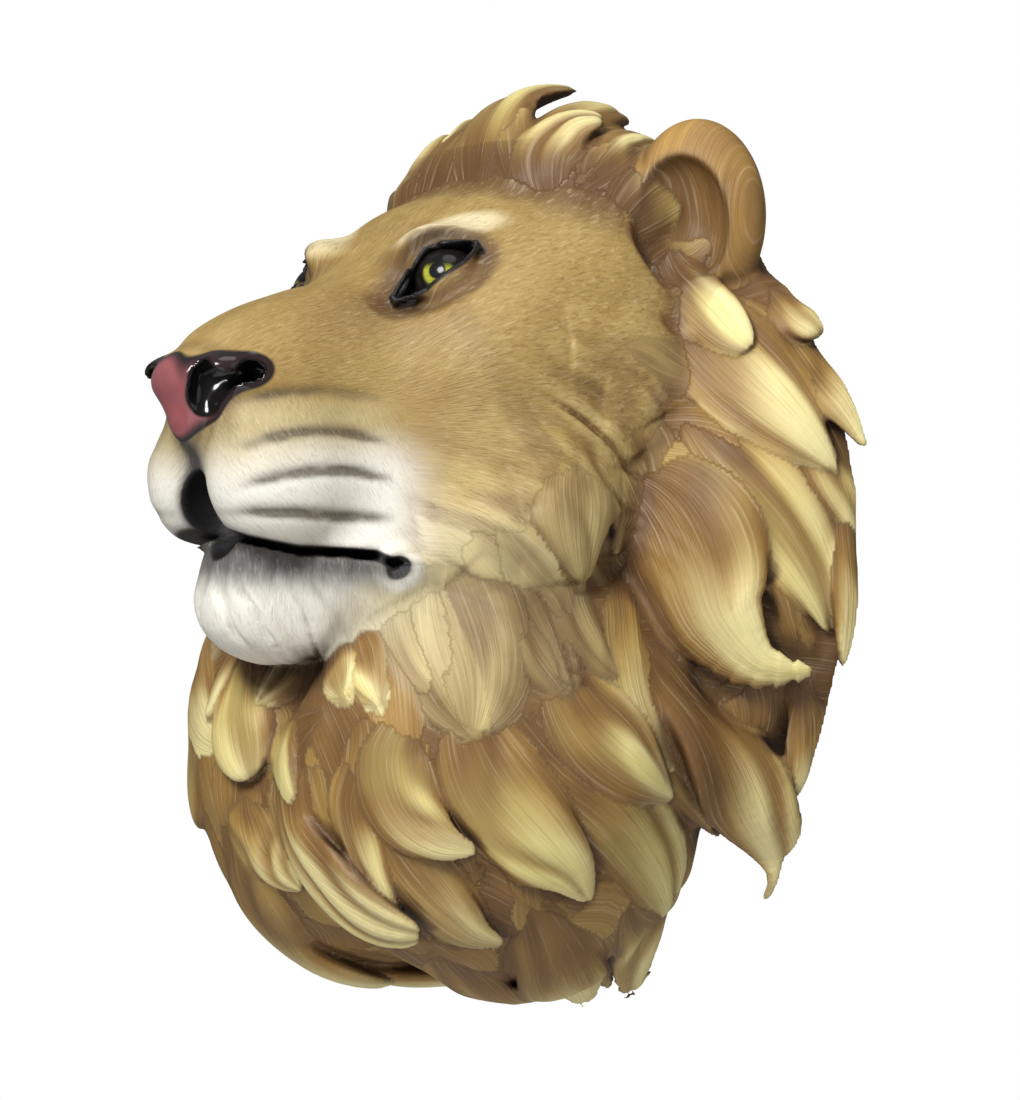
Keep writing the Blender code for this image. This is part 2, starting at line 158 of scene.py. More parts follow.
SINGLE_LOCKS = {
    "s_lock": ((146, 24), (170, 27), (174, 36), (164, 43), (157, 49), (152, 54), 20, -2, 15, 1.0, 0.6),
    "strand": ((133, 33), (149, 36), (153, 42), (155, 52), 9, -4, 12, 0.6, 0),
    "left_sweep": ((-160, 40), (-160, 50), (-161, 60), (-167, 67), (-173, 72), 22, -4, 15, 0.65, 0.5),
    "left_inner": ((-165, 33), (-170, 39), (-175, 43), (-179, 46), 16, -4, 12, 0.45, 0),
    "front_blunt": ((-133, 17), (-150, 21), (-163, 25), (-171, 29), 15, 0, 11, 0.6, 0.8),
    "far_curl": ((-91, 35), (-109, 37), (-135, 31), (-158, 28), 15, 13, -3, 0.6, 0.3),
    "far_low": ((-134, 36), (-146, 37), (-149, 41), (-149, 47), 9, -6, -1, 0.45, 0.2),
    "front_mid": ((-164, 20), (-176, 24), (170, 28), (165, 31), 15, -4, 12, 0.5, 0.4),
    "throat_left": ((-166, 11), (-166, 13), (-165, 16), (-163, 20), 9, 0, 8, 0.8, 0),
    "throat": ((124, 15), (127, 18), (129, 21), (131, 25), 8, -3, 6, 0.8, 0),
    "throat_right": ((112, 20), (116, 24), (120, 27), (124, 31), 8, -3, 6, 0.8, 0),
    "far_throat": ((-127, 16), (-131, 19), (-134, 22), (-138, 27), 9, 0, 8, 0.6, 0),
    "top": ((7, 76), (3, 81), (1, 87), (5, 94), 17, -2, 19, 0.65, 0.4),
    "top_in": ((11, 79), (5, 83), (2, 87), (5, 92), 10, 1, 17, 0.5, 0),
    "front": ((-2, 74), (-5, 79), (-5, 84), (-1, 90), 16, -2, 10, 0.6, 0),
    "front_left": ((-10, 74), (-13, 79), (-10, 84), (-6, 89), 15, -2, 8, 0.55, 0),
    "far": ((-17, 74), (-19, 77), (-19, 80), (-18, 83), 13, 0, 8, 0.7, 0.2),
}
# Tufts at the edge of the cheeks, seen from the face's centre
TUFTS = {
    "temple_top": ((69, 89), (73, 99), (78, 107), (87, 112), 10, -3, 7, 0.7, 0),
    "temple": ((82, 100), (92, 106), (103, 105), (113, 104), 12, -3, 7, 0.7, 0),
    "temple_back": ((90, 98), (95, 105), (106, 104), (118, 103), 11, -3, 6, 0.5, 0),
    "cheek_back": ((93, 95), (102, 102), (111, 97), (120, 91), 13, -3, 6, 0.6, 0),
    "cheek": ((98, 77), (108, 79), (115, 79), (124, 81), 15, -3, 8, 0.7, 0.2),
    "jowl_inner": ((122, 56), (129, 67), (132, 73), (135, 77), 11, -3, 6, 0.7, 0),
    "jowl_back": ((117, 63), (124, 72), (129, 77), (134, 78), 14, -3, 7, 0.7, 0),
    "jowl_gap": ((132, 62), (133, 66), (134, 71), (136, 77), 11, -3, 6, 0.6, 0.3),
    "jowl_low": ((134, 55), (135, 60), (138, 64), (143, 65), 17, -3, 9, 0.9, 0.4),
    "jowl_front": ((140, 53), (140, 57), (141, 61), (143, 66), 13, -3, 8, 0.9, 0.3),
    "chin_side": ((145, 50), (145, 52), (144, 56), (143, 61), 10, -3, 6, 0.8, 0.2),
    "under": ((126, 77), (130, 79), (132, 82), (134, 86), 13, -4, 4, 0.4, 0),
}
LOCK_DEPTH = 0.36  # half thickness for each half width
FILLER_DEPTH = 0.22
TUFT_DEPTH = 0.32
FILLER_COMBED, TUFT_COMBED = 0.7, 0.55  # share of a full lock's combing
FILLER_RINGS = range(22, 106, 12)  # degrees from straight ahead
FILLER_ROW = (24, -6, -1, 0, 0)  # the columns that follow the places
LOCK_STEPS = 28
THINNEST = 1.7  # half of a lock's width or thickness at its tip


def hashed(ix, iy, seed):
    """A number of 0 to 1 for each whole-numbered place."""
    with np.errstate(over="ignore"):
        h = ix.astype(np.uint32) * np.uint32(374761393) + iy.astype(np.uint32) * np.uint32(668265263)
        h = h + np.uint32(seed * 362437 % 2**32)
        h = (h ^ (h >> np.uint32(13))) * np.uint32(1274126177)
        h = h ^ (h >> np.uint32(16))
    return (h & np.uint32(0xFFFF)).astype(np.float32) / 65535


def noise(x, y, seed=0):
    """Smooth noise of 0 to 1 in the plane."""
    x0, y0 = np.floor(x), np.floor(y)
    fx, fy = (x - x0).astype(np.float32), (y - y0).astype(np.float32)
    ix, iy = x0.astype(np.int64), y0.astype(np.int64)
    fx, fy = fx * fx * (3 - 2 * fx), fy * fy * (3 - 2 * fy)
    low = hashed(ix, iy, seed) * (1 - fx) + hashed(ix + 1, iy, seed) * fx
    high = hashed(ix, iy + 1, seed) * (1 - fx) + hashed(ix + 1, iy + 1, seed) * fx
    return low * (1 - fy) + high * fy


def smin(a, b, k):
    h = np.maximum(k - np.abs(a - b), 0) / k
    return np.minimum(a, b) - h * h * k / 4


def smax(a, b, k):
    return -smin(-a, -b, k)


def smoothstep(low, high, x):
    t = np.clip((x - low) / (high - low), 0, 1)
    return t * t * (3 - 2 * t)


def bump(x, middle, width):
    return np.exp(-(((x - middle) / width) ** 2))


def turned(q, turn):
    """Points turned about Z by an angle in degrees."""
    c, s = math.cos(math.radians(turn)), math.sin(math.radians(turn))
    return np.stack([q[:, 0] * c + q[:, 1] * s, -q[:, 0] * s + q[:, 1] * c, q[:, 2]], -1)


def ellipsoid(p, centre, radii, turn=0):
    q = p - np.array(centre, np.float32)
    if turn:
        q = turned(q, turn)
    r = np.array(radii, np.float32)
    k0 = np.sqrt(((q / r) ** 2).sum(-1))
    k1 = np.sqrt(((q / r**2) ** 2).sum(-1))
    return k0 * (k0 - 1) / np.maximum(k1, 1e-6)


def mirrored(p):
    """Points folded on to the near side, where a pair's form is given."""
    return np.concatenate([np.abs(p[:, :1]), p[:, 1:]], -1)


def smooth_curve(knots, values, places):
    """Values at places between the knots, on smooth curves."""
    knots, values = np.array(knots, float), np.array(values, float)
    slopes = np.gradient(values, knots, axis=0)
    i = np.clip(np.searchsorted(knots, places) - 1, 0, len(knots) - 2)
    span = (knots[i + 1] - knots[i])[:, None]
    t = (places - knots[i])[:, None] / span
    ease = t * (1 - t) ** 2 * slopes[i] - t * t * (1 - t) * slopes[i + 1]
    return values[i] + (values[i + 1] - values[i]) * t * t * (3 - 2 * t) + ease * span


def section_table(rows, count=200):
    """The rows' columns at many even distances from the wall, as smooth curves."""
    table = np.array(rows, float)
    places = np.linspace(table[0, 0], table[-1, 0], count)
    return places, smooth_curve(table[:, 0], table[:, 1:], places)


def loft(p, table, power=2.7, end=10):
    """Distance from a loft through rounded sections along Y."""
    place, columns = table
    out = -p[:, 1]
    half, top, bottom = (np.interp(out, place, columns[:, i]).astype(np.float32) for i in range(3))
    up = p[:, 2] - (top + bottom) / 2
    q = ((np.abs(p[:, 0]) / half) ** power + (np.abs(up) / (top - bottom) * 2) ** power) ** (1 / power)
    size = np.sqrt(p[:, 0] ** 2 + up**2)
    inside = -np.minimum(half, (top - bottom) / 2)
    d = np.where(q > 0.15, size * (1 - 1 / np.maximum(q, 0.15)), inside)
    return smax(d, out - place[-1], end)


UPPER_TABLE, JAW_TABLE = section_table(UPPER_HEAD), section_table(LOWER_JAW)

# The near eye: its corners, the way it faces, and its ball
EYE_INNER = (36, -147, 104)
EYE_OUTER = (58, -122, 126)
EYE_FACING = (0.62, -0.72, 0.30)
EYE_RADIUS = 14
EYE_SUNK = 9  # from the opening's middle to the ball's
LID = 2.4
IRIS_RADIUS = 7.0
# Nostril hollows, the leather round them, and the mouth's line from its middle to its corner
NOSTRIL = (((15, -229, 63), (6, 6, 9)), ((19, -226, 70), (7, 9, 7)), ((25, -214, 72), (6, 11, 5)))
LEATHER = ((0, -234, 62), (15, 18, 19))
MOUTH = (
    (0, -224, 13),
    (12, -222, 8),
    (22, -211, 4),
    (34, -196, 0),
    (44, -182, -1),
    (52, -171, -2),
    (57, -163, -6),
)
MOUTH_OPEN = 1.3
MOUTH_DEPTH = 13
MOUTH_CORNER = ((57, -162, -8), (5.8, 5.8, 5.4))
LIP_GAP = ((0, -215, 15), (11.5, 17, 18))
# Height, bend and tilt of each row on the pads
FURROWS = ((64, 0.004, 0), (48, 0.006, 0), (32, 0.005, 0), (14, 0, 0.05))
FURROW_MIDDLE = 190
FURROW_DEPTH, FLUTE_DEPTH, CLUMP_DEPTH = 1.3, 2.0, 2.4
CHEEK_LEAN = 0.75  # slope of the cheek's fur
CLUMP_WIDTH, CLUMP_LENGTH = 8.5, 34
CHIN_MIDDLE, CHIN_SPREAD = 150, 55  # where the chin's fur fans out from, and shares for each radian


def unit(v):
    return v / np.linalg.norm(v)


def eye_frame():
    inner, outer = np.array(EYE_INNER, float), np.array(EYE_OUTER, float)
    along = unit(outer - inner)
    facing = np.array(EYE_FACING)
    facing = unit(facing - along * (facing @ along))
    return (inner + outer) / 2, along, np.cross(facing, along), facing


EYE_CENTRE, EYE_ALONG, EYE_UP, EYE_OUT = eye_frame()
EYE_HALF = np.linalg.norm(np.array(EYE_OUTER, float) - EYE_INNER) / 2
EYE_BALL = EYE_CENTRE - EYE_OUT * EYE_SUNK - EYE_UP * 1.5 + EYE_ALONG * 2.5


def eye_place(m):
    """Points as seen by the near eye: along it, up and out."""
    q = m - EYE_CENTRE.astype(np.float32)
    return tuple(q @ axis.astype(np.float32) for axis in (EYE_ALONG, EYE_UP, EYE_OUT))


def eye_opening(m):
    """Distance in the eye's own plane from the gap between its lids."""
    x, y, _ = eye_place(m)
    t = np.clip(x / EYE_HALF, -1, 1)
    past = np.where(t > 0.08, (t - 0.08) / 0.92, (0.08 - t) / 1.08)
    upper = 11.0 * np.maximum(1 - past, 0) ** np.where(t > 0.08, 0.7, 0.9)
    lower = -4.2 * (1 - np.abs(t) ** 3)
    return np.maximum(np.maximum(y - upper, lower - y), np.abs(x) - EYE_HALF)


def nostril(m):
    hollow, *rest = (ellipsoid(m, *form) for form in NOSTRIL)
    for other in rest:
        hollow = smin(hollow, other, 5)
    return hollow


def mouth_place(m):
    """Nearest place on the mouth's line: height over it, distance outwards and distance past its end."""
    line = np.array(MOUTH, np.float32)
    best = np.full(len(m), 1e9, np.float32)
    past, up, out = (np.zeros(len(m), np.float32) for _ in range(3))
    for i in range(len(line) - 1):
        a, step = line[i], line[i + 1] - line[i]
        t = np.clip(((m - a) @ step) / (step @ step), 0, 1)
        offset = m - a - t[:, None] * step
        d = (offset**2).sum(-1)
        side = unit(np.array([-step[1], step[0], 0]))
        near = d < best
        best[near] = d[near]
        past[near] = np.maximum(offset @ unit(step), 0)[near] if i == len(line) - 2 else 0
        up[near] = offset[near, 2]
        out[near] = (offset @ -side.astype(np.float32))[near]
    return up, out, past


def mouth_slit(m):
    up, out, past = mouth_place(m)
    return (np.sqrt((up / MOUTH_OPEN) ** 2 + (out / MOUTH_DEPTH) ** 2 + (past / 2) ** 2) - 1) * MOUTH_OPEN


def bare_face(p, m):
    d = smin(loft(p, UPPER_TABLE), loft(p, JAW_TABLE), 5)
    for centre, radii, blend in (*CHEEKS.values(), *FEATURES.values()):
        d = smin(d, ellipsoid(m, centre, radii), blend)
    return d


def furrows(m, width):
    """How near each place is to a row on the pads, 0 to 1."""
    x, out, z = m[:, 0], -m[:, 1], m[:, 2]
    past = out - FURROW_MIDDLE
    rows = sum(np.exp(-(((z - h + bend * past**2 - tilt * past) / width) ** 2)) for h, bend, tilt in FURROWS)
    return rows * smoothstep(160, 174, out) * smoothstep(228, 212, out) * smoothstep(12, 22, x)


def cheek_fur(m):
    """How near each place is to a parting of the cheek's fur, 0 in it, and how strong those partings are."""
    x, out, z = m[:, 0], -m[:, 1], m[:, 2]
    across = (z - CHEEK_LEAN * out + 9 * noise(out / 26, z / 26, 8)) / CLUMP_WIDTH
    along = (out + CHEEK_LEAN * z) / CLUMP_LENGTH + 0.3 * noise(across, z * 0, 7)
    clumps = np.abs(2 * noise(across, along, 9) - 1)
    low = smoothstep(168, 135, out) * smoothstep(60, 5, z) * smoothstep(10, 30, x)
    side = smoothstep(125, 92, out) * smoothstep(112, 66, z) * smoothstep(40, 62, x)
    return clumps, np.maximum(low, side)


def face_relief(m):
    """How far the face's surface is sunk: rows on the pads, fur on the chin and cheeks."""
    x, out, z = m[:, 0], -m[:, 1], m[:, 2]
    chin = smoothstep(2, -10, z) * smoothstep(150, 170, out)
    around = np.arctan2(x, out - CHIN_MIDDLE) * CHIN_SPREAD
    flutes = np.abs(2 * noise(around / 5.5 + z / 26 + noise(z / 13, x * 0, 4), z / 34, 5) - 1)
    clumps, cheek = cheek_fur(m)
    sunk = FURROW_DEPTH * furrows(m, 2.6) + FLUTE_DEPTH * (1 - smoothstep(0, 0.7, flutes)) * chin
    return sunk + CLUMP_DEPTH * (1 - smoothstep(0, 0.6, clumps)) * cheek


def face(p):
    m = mirrored(p)
    d = bare_face(p, m)

    x, y, z = eye_place(m)
    socket = (np.sqrt((x / 27) ** 2 + ((y - 1) / 15) ** 2 + ((z - 5) / 11) ** 2) - 1) * 11
    d = smax(d, -socket, 7)
    lids = np.sqrt(((m - EYE_BALL.astype(np.float32)) ** 2).sum(-1)) - EYE_RADIUS - LID
    d = smin(d, lids, 4)
    rim = np.sqrt(np.maximum(eye_opening(m), 0) ** 2 + (z - 2) ** 2) - 2.2
    d = smin(d, np.where(np.abs(x) > EYE_HALF * 0.4, rim, 9), 3)
    d = smax(d, -np.maximum(eye_opening(m), -9 - z), 1.2)
    d = smax(d, -nostril(m), 2.5)
    d = smax(d, -ellipsoid(m, *LIP_GAP), 3)
    d = smax(d, -mouth_slit(m), 2)
    corner = ellipsoid(m, *MOUTH_CORNER)
    d = smax(d - 1.6 * bump(corner, 3.0, 2.2), -corner, 1.5)
    return d + face_relief(m)


def direction(clock, polar):
    c, q = math.radians(clock), math.radians(polar)
    return np.array([math.sin(q) * math.sin(c), -math.cos(q), math.sin(q) * math.cos(c)])


def skin_point(forms, centre, heading):
    """Where a ray from the centre leaves the forms for good, and the surface's normal there."""
    best = None
    for form in forms.values():
        for side in (1, -1) if form[0][0] else (1,):
            middle, radii = np.array(form[0], float) * (side, 1, 1), np.array(form[1], float)
            start, step = (centre - middle) / radii, heading / radii
            a, b, c = step @ step, start @ step, start @ start - 1
            reach = b * b - a * c
            if reach < 0:
                continue
            far = (math.sqrt(reach) - b) / a
            if best is None or far > best[0]:
                best = far, unit((start + step * far) / radii)
    return centre + heading * best[0], best[1]


def leaf(s, blunt=0):
    """A lock's width along its length: a narrow root, then its widest place, then a point or a round end."""
    start, end = 0.8, 1.1 - 0.7 * blunt
    widest = start / (start + end)
    size = 1.06 / (widest**start * (1 - widest) ** end)
    return size * (s + 0.04) ** start * np.maximum(1 - s, 0) ** end


class Lock:
    """A tapering ribbon over a surface, with its own length, across and height at any point."""

    def __init__(self, number, forms, centre, row, side=1, depth=LOCK_DEPTH, root_blend=7, combed=1):
        *stations, width, root_rise, tip_rise, pale, blunt = row
        stations = np.array([direction(*station) for station in stations])
        spans = np.linalg.norm(np.diff(stations, axis=0), axis=1)
        knots = np.concatenate([[0], np.cumsum(spans)]) / spans.sum()
        self.s = np.linspace(0, 1, LOCK_STEPS)
        headings = np.array([unit(heading) for heading in smooth_curve(knots, stations, self.s)])
        hits = [skin_point(forms, np.array(centre, float), heading) for heading in headings]
        reach = np.array([np.linalg.norm(point - centre) for point, _ in hits])
        reach = np.polyval(np.polyfit(self.s, reach, 4), self.s)
        normals = np.array([normal for _, normal in hits])
        normals = np.stack([np.polyval(np.polyfit(self.s, n, 3), self.s) for n in normals.T], -1)
        rise = root_rise + (tip_rise - root_rise) * self.s**0.95
        points = np.array(centre, float) + headings * (reach + rise)[:, None]
        self.number, self.side, self.pale, self.width = number, side, pale, width
        self.depth, self.root_blend, self.combed = depth, root_blend, combed
        steps = np.linalg.norm(np.diff(points, axis=0), axis=1)
        tangents = np.gradient(points, axis=0)
        tangents /= np.linalg.norm(tangents, axis=1)[:, None]
        across = np.cross(normals, tangents)
        across /= np.linalg.norm(across, axis=1)[:, None]
        up = np.cross(tangents, across)
        self.length = steps.sum()
        along = np.concatenate([[0], np.cumsum(steps)])
        half = np.maximum(width * leaf(self.s, blunt), THINNEST)
        # a row for each step: place, tangent, across, up, length so far, half width
        self.track = np.column_stack([points, tangents, across, up, along, half]).astype(np.float32)
        reach = half.max() + 7
        low, high = points.min(0) - reach, points.max(0) + reach
        if side < 0:
            low[0], high[0] = -high[0], -low[0]
        self.low, self.high = low, high

    def locate(self, p):
        """Length along the lock, across it and up, its half width there, and how far past its ends."""
        q = p * np.array((self.side, 1, 1), np.float32)
        best = np.full(len(q), 1e9, np.float32)
        near = np.zeros(len(q), np.int32)
        for i, place in enumerate(self.track[:, :3]):
            d = ((q - place) ** 2).sum(-1)
            closer = d < best
            best[closer] = d[closer]
            near[closer] = i
        row = self.track[near]
        step = ((q - row[:, :3]) * row[:, 3:6]).sum(-1)
        spacing = self.length / (LOCK_STEPS - 1)
        place = np.clip(near + step / spacing, 0, LOCK_STEPS - 1.001)
        low = place.astype(np.int32)
        f = (place - low)[:, None]
        row = self.track[low] * (1 - f) + self.track[low + 1] * f
        offset = q - row[:, :3]
        a = (offset * row[:, 6:9]).sum(-1)
        b = (offset * row[:, 9:12]).sum(-1)
        end = (near == 0) & (step < 0) | (near == LOCK_STEPS - 1) & (step > 0)
        return row[:, 12], a, b, row[:, 13], np.where(end, np.abs(step), 0)

    def distance(self, p):
        length, a, b, half, beyond = self.locate(p)
        s = length / self.length
        thick = np.maximum(half * self.depth, THINNEST)
        across, up = a / half, b / thick
        q = np.sqrt(across**2 + up**2)
        d = np.where(q > 0.2, np.sqrt(a * a + b * b) * (1 - 1 / np.maximum(q, 0.2)), -thick * 0.8)
        d = np.sqrt(np.maximum(d, 0) ** 2 + beyond**2) + np.minimum(d, 0)
        sunk, crease = self.combing(s, across, half)
        sunk = sunk + 3 * smoothstep(0.93, 1.0, s)
        return d + sunk, (s, length, across, up, half, crease)

    def combing(self, s, across, half):
        """How far the combing sinks the surface: a few broad bundles, and fine strands here and there."""
        seed = self.number * 7 + 3
        drift = 1.1 * (noise(s * 2.3 + seed, s * 0, seed) - 0.5)
        bundle = np.abs(2 * noise((across + drift) * 1.25 + 11, s * 1.3 + seed, seed) - 1)
        broad = 1 - smoothstep(0, 0.8, bundle)
        strand = np.abs(2 * noise((across + drift) * self.width / 2.6, s * 2.2 + seed, seed + 1) - 1)
        patch = smoothstep(0.35, 0.7, noise(across * 1.1 + 5, s * 3.1 + seed, seed + 2))
        fine = (1 - smoothstep(0.0, 0.6, strand)) * (0.25 + 0.75 * patch)
        sunk = broad * np.minimum(half * 0.15, 2.6) + fine * np.minimum(half * 0.04, 0.5)
        return sunk * self.combed, broad


def filler_rows():
    """Broad, low locks that cover the mane under the others, all combed outwards and down."""
    rows = []
    for ring, polar in enumerate(FILLER_RINGS):
        spacing = 17 if polar > 40 else 26
        for step in range(int(170 / spacing)):
            clock = 26 + spacing * (step + 0.5 * (ring % 2))
            if clock > 182 or (clock < 96 and polar < 66) or (clock > 150 and polar > 66):
                continue
            fall = math.sin(math.radians(clock))
            clock += 4 * math.sin(step * 2.3 + ring * 1.7)
            bend = 5 * math.sin(step * 1.3 + ring * 2.1)
            limit = 106 - 0.2 * max(clock - 130, 0)
            drop = 30 * fall + 3
            stations = [
                (clock + drop * t + bend * math.sin(2 * math.pi * t), min(polar + 26 * t, limit + t))
                for t in (0, 0.33, 0.67, 1)
            ]
            rows.append((*stations, *FILLER_ROW))
    return rows


def all_locks():
    locks = []

    def add(row, sides, *more, **how):
        for side in sides:
            locks.append(Lock(len(locks), *more, row, side, **how))

    for row in PAIRED_LOCKS.values():
        add(row, (1, -1), MANE, MANE_CENTRE)
    for row in SINGLE_LOCKS.values():
        add(row, (1,), MANE, MANE_CENTRE)
    for row in filler_rows():
        add(row, (1, -1), MANE, MANE_CENTRE, depth=FILLER_DEPTH, combed=FILLER_COMBED)
    under_tufts = {**CHEEKS, **MANE}
    for row in TUFTS.values():
        add(row, (1, -1), under_tufts, FACE_CENTRE, depth=TUFT_DEPTH, root_blend=11, combed=TUFT_COMBED)
    return locks


class Form:
    """A solid in the carving: its box, its distance, and how it joins what is there."""

    def __init__(self, centre, reach, distance, blend, cuts=False):
        self.low, self.high = np.array(centre, float) - reach, np.array(centre, float) + reach
        self.distance, self.blend, self.cuts = distance, blend, cuts


def ellipsoid_form(side, centre, radii, blend, turn=0, cuts=False):
    """An ellipsoid of the carving, on the near side or its pair."""
    middle = np.array(centre, float) * (side, 1, 1)
    reach = (max(radii) if turn else np.array(radii)) + 8
    return Form(middle, reach, lambda p: ellipsoid(p, middle, radii, turn * side), blend, cuts)


def mane_forms():
    pairs = [(form, (1, -1) if form[0][0] else (1,)) for form in MANE.values()]
    return [ellipsoid_form(side, *form, 6) for form, sides in pairs for side in sides]


def ear_forms():
    parts = ((EAR, 5, False), (EAR_CUP, 3, True))
    return [
        ellipsoid_form(side, *form, blend, EAR_TURN, cuts) for side in (1, -1) for form, blend, cuts in parts
    ]


def within(p, low, high):
    return np.flatnonzero(((p > low.astype(np.float32)) & (p < high.astype(np.float32))).all(1))


FACE = Form((0, -90, 52), (112, 162, 126), face, 0.1)
BASE = [FACE, *mane_forms(), ellipsoid_form(1, *BACKING, 4)]
LOCKS = all_locks()
TUFT_FROM = len(LOCKS) - 2 * len(TUFTS)
EARS = ear_forms()


def root_blend(lock, s):
    least = 3.0 if lock.combed == 1 else 6.0
    return least + 2.0 * lock.root_blend * np.maximum(1 - s * 1.05, 0) ** 2


def cast(p):
    """Distance of the whole cast's surface from each point."""
    d = np.full(len(p), FAR, np.float32)
    for form in BASE:
        near = within(p, form.low, form.high)
        d[near] = smin(d[near], form.distance(p[near]), form.blend)
    for form in EARS:
        near = within(p, form.low, form.high)
        if form.cuts:
            d[near] = smax(d[near], -form.distance(p[near]), form.blend)
        else:
            d[near] = smin(d[near], form.distance(p[near]), form.blend)
    for lock in LOCKS:
        near = within(p, lock.low, lock.high)
        if not len(near):
            continue
        own, (s, *_) = lock.distance(p[near])
        d[near] = smin(d[near], own, root_blend(lock, s))
    return d


class Grid:
    """Distances on a regular grid whose last layer but one lies on the wall."""

    def __init__(self, low, high, cell):
        step = cell * COARSE
        count = np.ceil((np.array(high, float) - low) / step).astype(int) + 1
        self.cell, self.low = cell, np.array([low[0], -(count[1] - 1) * step, low[2]])
        axes = [self.low[i] + step * np.arange(count[i]) for i in range(3)]
        points = np.stack(np.meshgrid(*axes, indexing="ij"), -1).astype(np.float32)
        values = cast(points.reshape(-1, 3)).reshape(count)
        for axis in range(3):
            values = self.finer(values, axis)
        self.values = values
        self.count = np.array(values.shape)
        where = np.argwhere(np.abs(values) < BAND)
        for part in np.array_split(where, 8):
            spots = (part * cell + self.low).astype(np.float32)
            self.values[tuple(part.T)] = cast(spots)
        behind = np.maximum(self.values[:, -1:], 0) + cell
        self.values = np.concatenate([self.values, behind], 1)
        self.count = np.array(self.values.shape)

    @staticmethod
    def finer(values, axis):
        """The values with COARSE steps for each one along an axis."""
        values = np.moveaxis(values, axis, 0)
        made = np.empty(((len(values) - 1) * COARSE + 1, *values.shape[1:]), np.float32)
        for i in range(COARSE):
            f = i / COARSE
            made[i : -1 : COARSE] = values[:-1] * (1 - f) + values[1:] * f
        made[-1] = values[-1]
        return np.moveaxis(made, 0, axis)

    def at(self, p):
        """The distance at any points, between the grid's own."""
        q = np.clip((p - self.low) / self.cell, 0, self.count - 1.001)
        i = q.astype(int)
        f = (q - i).astype(np.float32)
        total = np.zeros(len(p), np.float32)
        for corner in range(8):
            o = np.array([corner & 1, corner >> 1 & 1, corner >> 2 & 1])
            total += np.prod(np.where(o, f, 1 - f), axis=1) * self.values[tuple((i + o).T)]
        return total

    def outward(self, p):
        """Unit vectors away from the surface."""
        step = self.cell
        slope = [self.at(p + step * axis) - self.at(p - step * axis) for axis in np.eye(3)]
        normal = np.stack(slope, -1)
        return normal / np.maximum(np.linalg.norm(normal, axis=1), 1e-6)[:, None]


def skin_of(grid):
    """Surface nets: a point in each cell that the surface crosses, a quad across each crossed edge, and
    which of the quads lie on the wall."""
    values = grid.values
    inside = values < 0
    cells = np.zeros(grid.count - 1, np.uint8)
    corners = [(i, j, k) for i in (0, 1) for j in (0, 1) for k in (0, 1)]
    for i, j, k in corners:
        cells += inside[i : i + cells.shape[0], j : j + cells.shape[1], k : k + cells.shape[2]]
    active = np.argwhere((cells > 0) & (cells < 8))
    index = np.full(cells.shape, -1, np.int32)
    index[tuple(active.T)] = np.arange(len(active))
    total = np.zeros((len(active), 3), np.float32)
    hits = np.zeros(len(active), np.float32)
    for start in corners:
        for axis in range(3):
            if start[axis]:
                continue
            end = list(start)
            end[axis] = 1
            a, b = values[tuple((active + start).T)], values[tuple((active + end).T)]
            crossed = (a < 0) != (b < 0)
            spot = np.tile(np.array(start, np.float32), (len(active), 1))
            spot[:, axis] += np.where(crossed, a / np.where(crossed, a - b, 1), 0)
            total += spot * crossed[:, None]
            hits += crossed
    points = (active + total / hits[:, None]) * grid.cell + grid.low
    points[active[:, 1] == cells.shape[1] - 1, 1] = 0
    quads, on_wall = [], []
    for axis, (u, v) in enumerate(((1, 2), (2, 0), (0, 1))):
        low, high = [slice(None)] * 3, [slice(None)] * 3
        low[axis], high[axis] = slice(0, -1), slice(1, None)
        start = inside[tuple(low)]
        edges = np.argwhere(start != inside[tuple(high)])
        inner = (edges[:, u] > 0) & (edges[:, v] > 0)
        inner &= (edges[:, u] < values.shape[u] - 1) & (edges[:, v] < values.shape[v] - 1)
        edges = edges[inner]
        ring = []
        for du, dv in ((-1, -1), (0, -1), (0, 0), (-1, 0)):
            cell = edges.copy()
            cell[:, u] += du
            cell[:, v] += dv
            ring.append(index[tuple(cell.T)])
        quad = np.stack(ring, 1)
        back = ~start[tuple(edges.T)]
        quad[back] = quad[back][:, ::-1]
        quads.append(quad)
        on_wall.append((edges[:, 1] == values.shape[1] - 2) & (axis == 1))
    return points, np.concatenate(quads), np.concatenate(on_wall)


# What a place on the surface belongs to
OF_FACE, OF_MANE, OF_LOCK, OF_EAR, OF_TUFT = range(5)
# How far out from the surface occlusion is sampled for the painted shade in hollows, and the share of each
OCCLUSION_REACH = ((2.5, 0.18), (6, 0.37), (14, 0.45))

# Colours
TAN = (0.32, 0.203, 0.058)
LIGHT_TAN = (0.42, 0.30, 0.106)
SHADE_TAN = (0.18, 0.105, 0.036)
CREAM = (0.74, 0.63, 0.38)
WHITE_FUR = (0.84, 0.81, 0.725)
OCHRE = (0.45, 0.265, 0.066)
BROWN = (0.165, 0.083, 0.026)
# near black, for painted shade deepest in the hollows
DEEP_SHADE = (0.035, 0.017, 0.007)
PALE = (0.88, 0.78, 0.38)
YELLOW = (0.70, 0.60, 0.19)
GREY = (0.055, 0.052, 0.052)
PAD_TOP = (0.44, 0.37, 0.19)
TUFT_END = (0.64, 0.51, 0.215)
# brown of the locks' roots and the hairline, also the colour of painted shade in hollows and between locks
ROOT_AND_SHADE_BROWN = (0.115, 0.056, 0.019)
EAR_BROWN = (0.25, 0.135, 0.045)
JOWL = (0.54, 0.47, 0.265)
ROW_BROWN = (0.085, 0.065, 0.04)
STRAND_DARK = (0.10, 0.05, 0.018)
STRAND_LIGHT = (0.86, 0.76, 0.52)
PINK, DEEP_PINK = (0.36, 0.095, 0.105), (0.20, 0.075, 0.08)
LEATHER_RIM = (0.02, 0.016, 0.016)
LIP_BLACK = (0.008, 0.007, 0.007)
RESIN_GREY, PALE_RESIN = (0.30, 0.285, 0.26), (0.42, 0.40, 0.37)
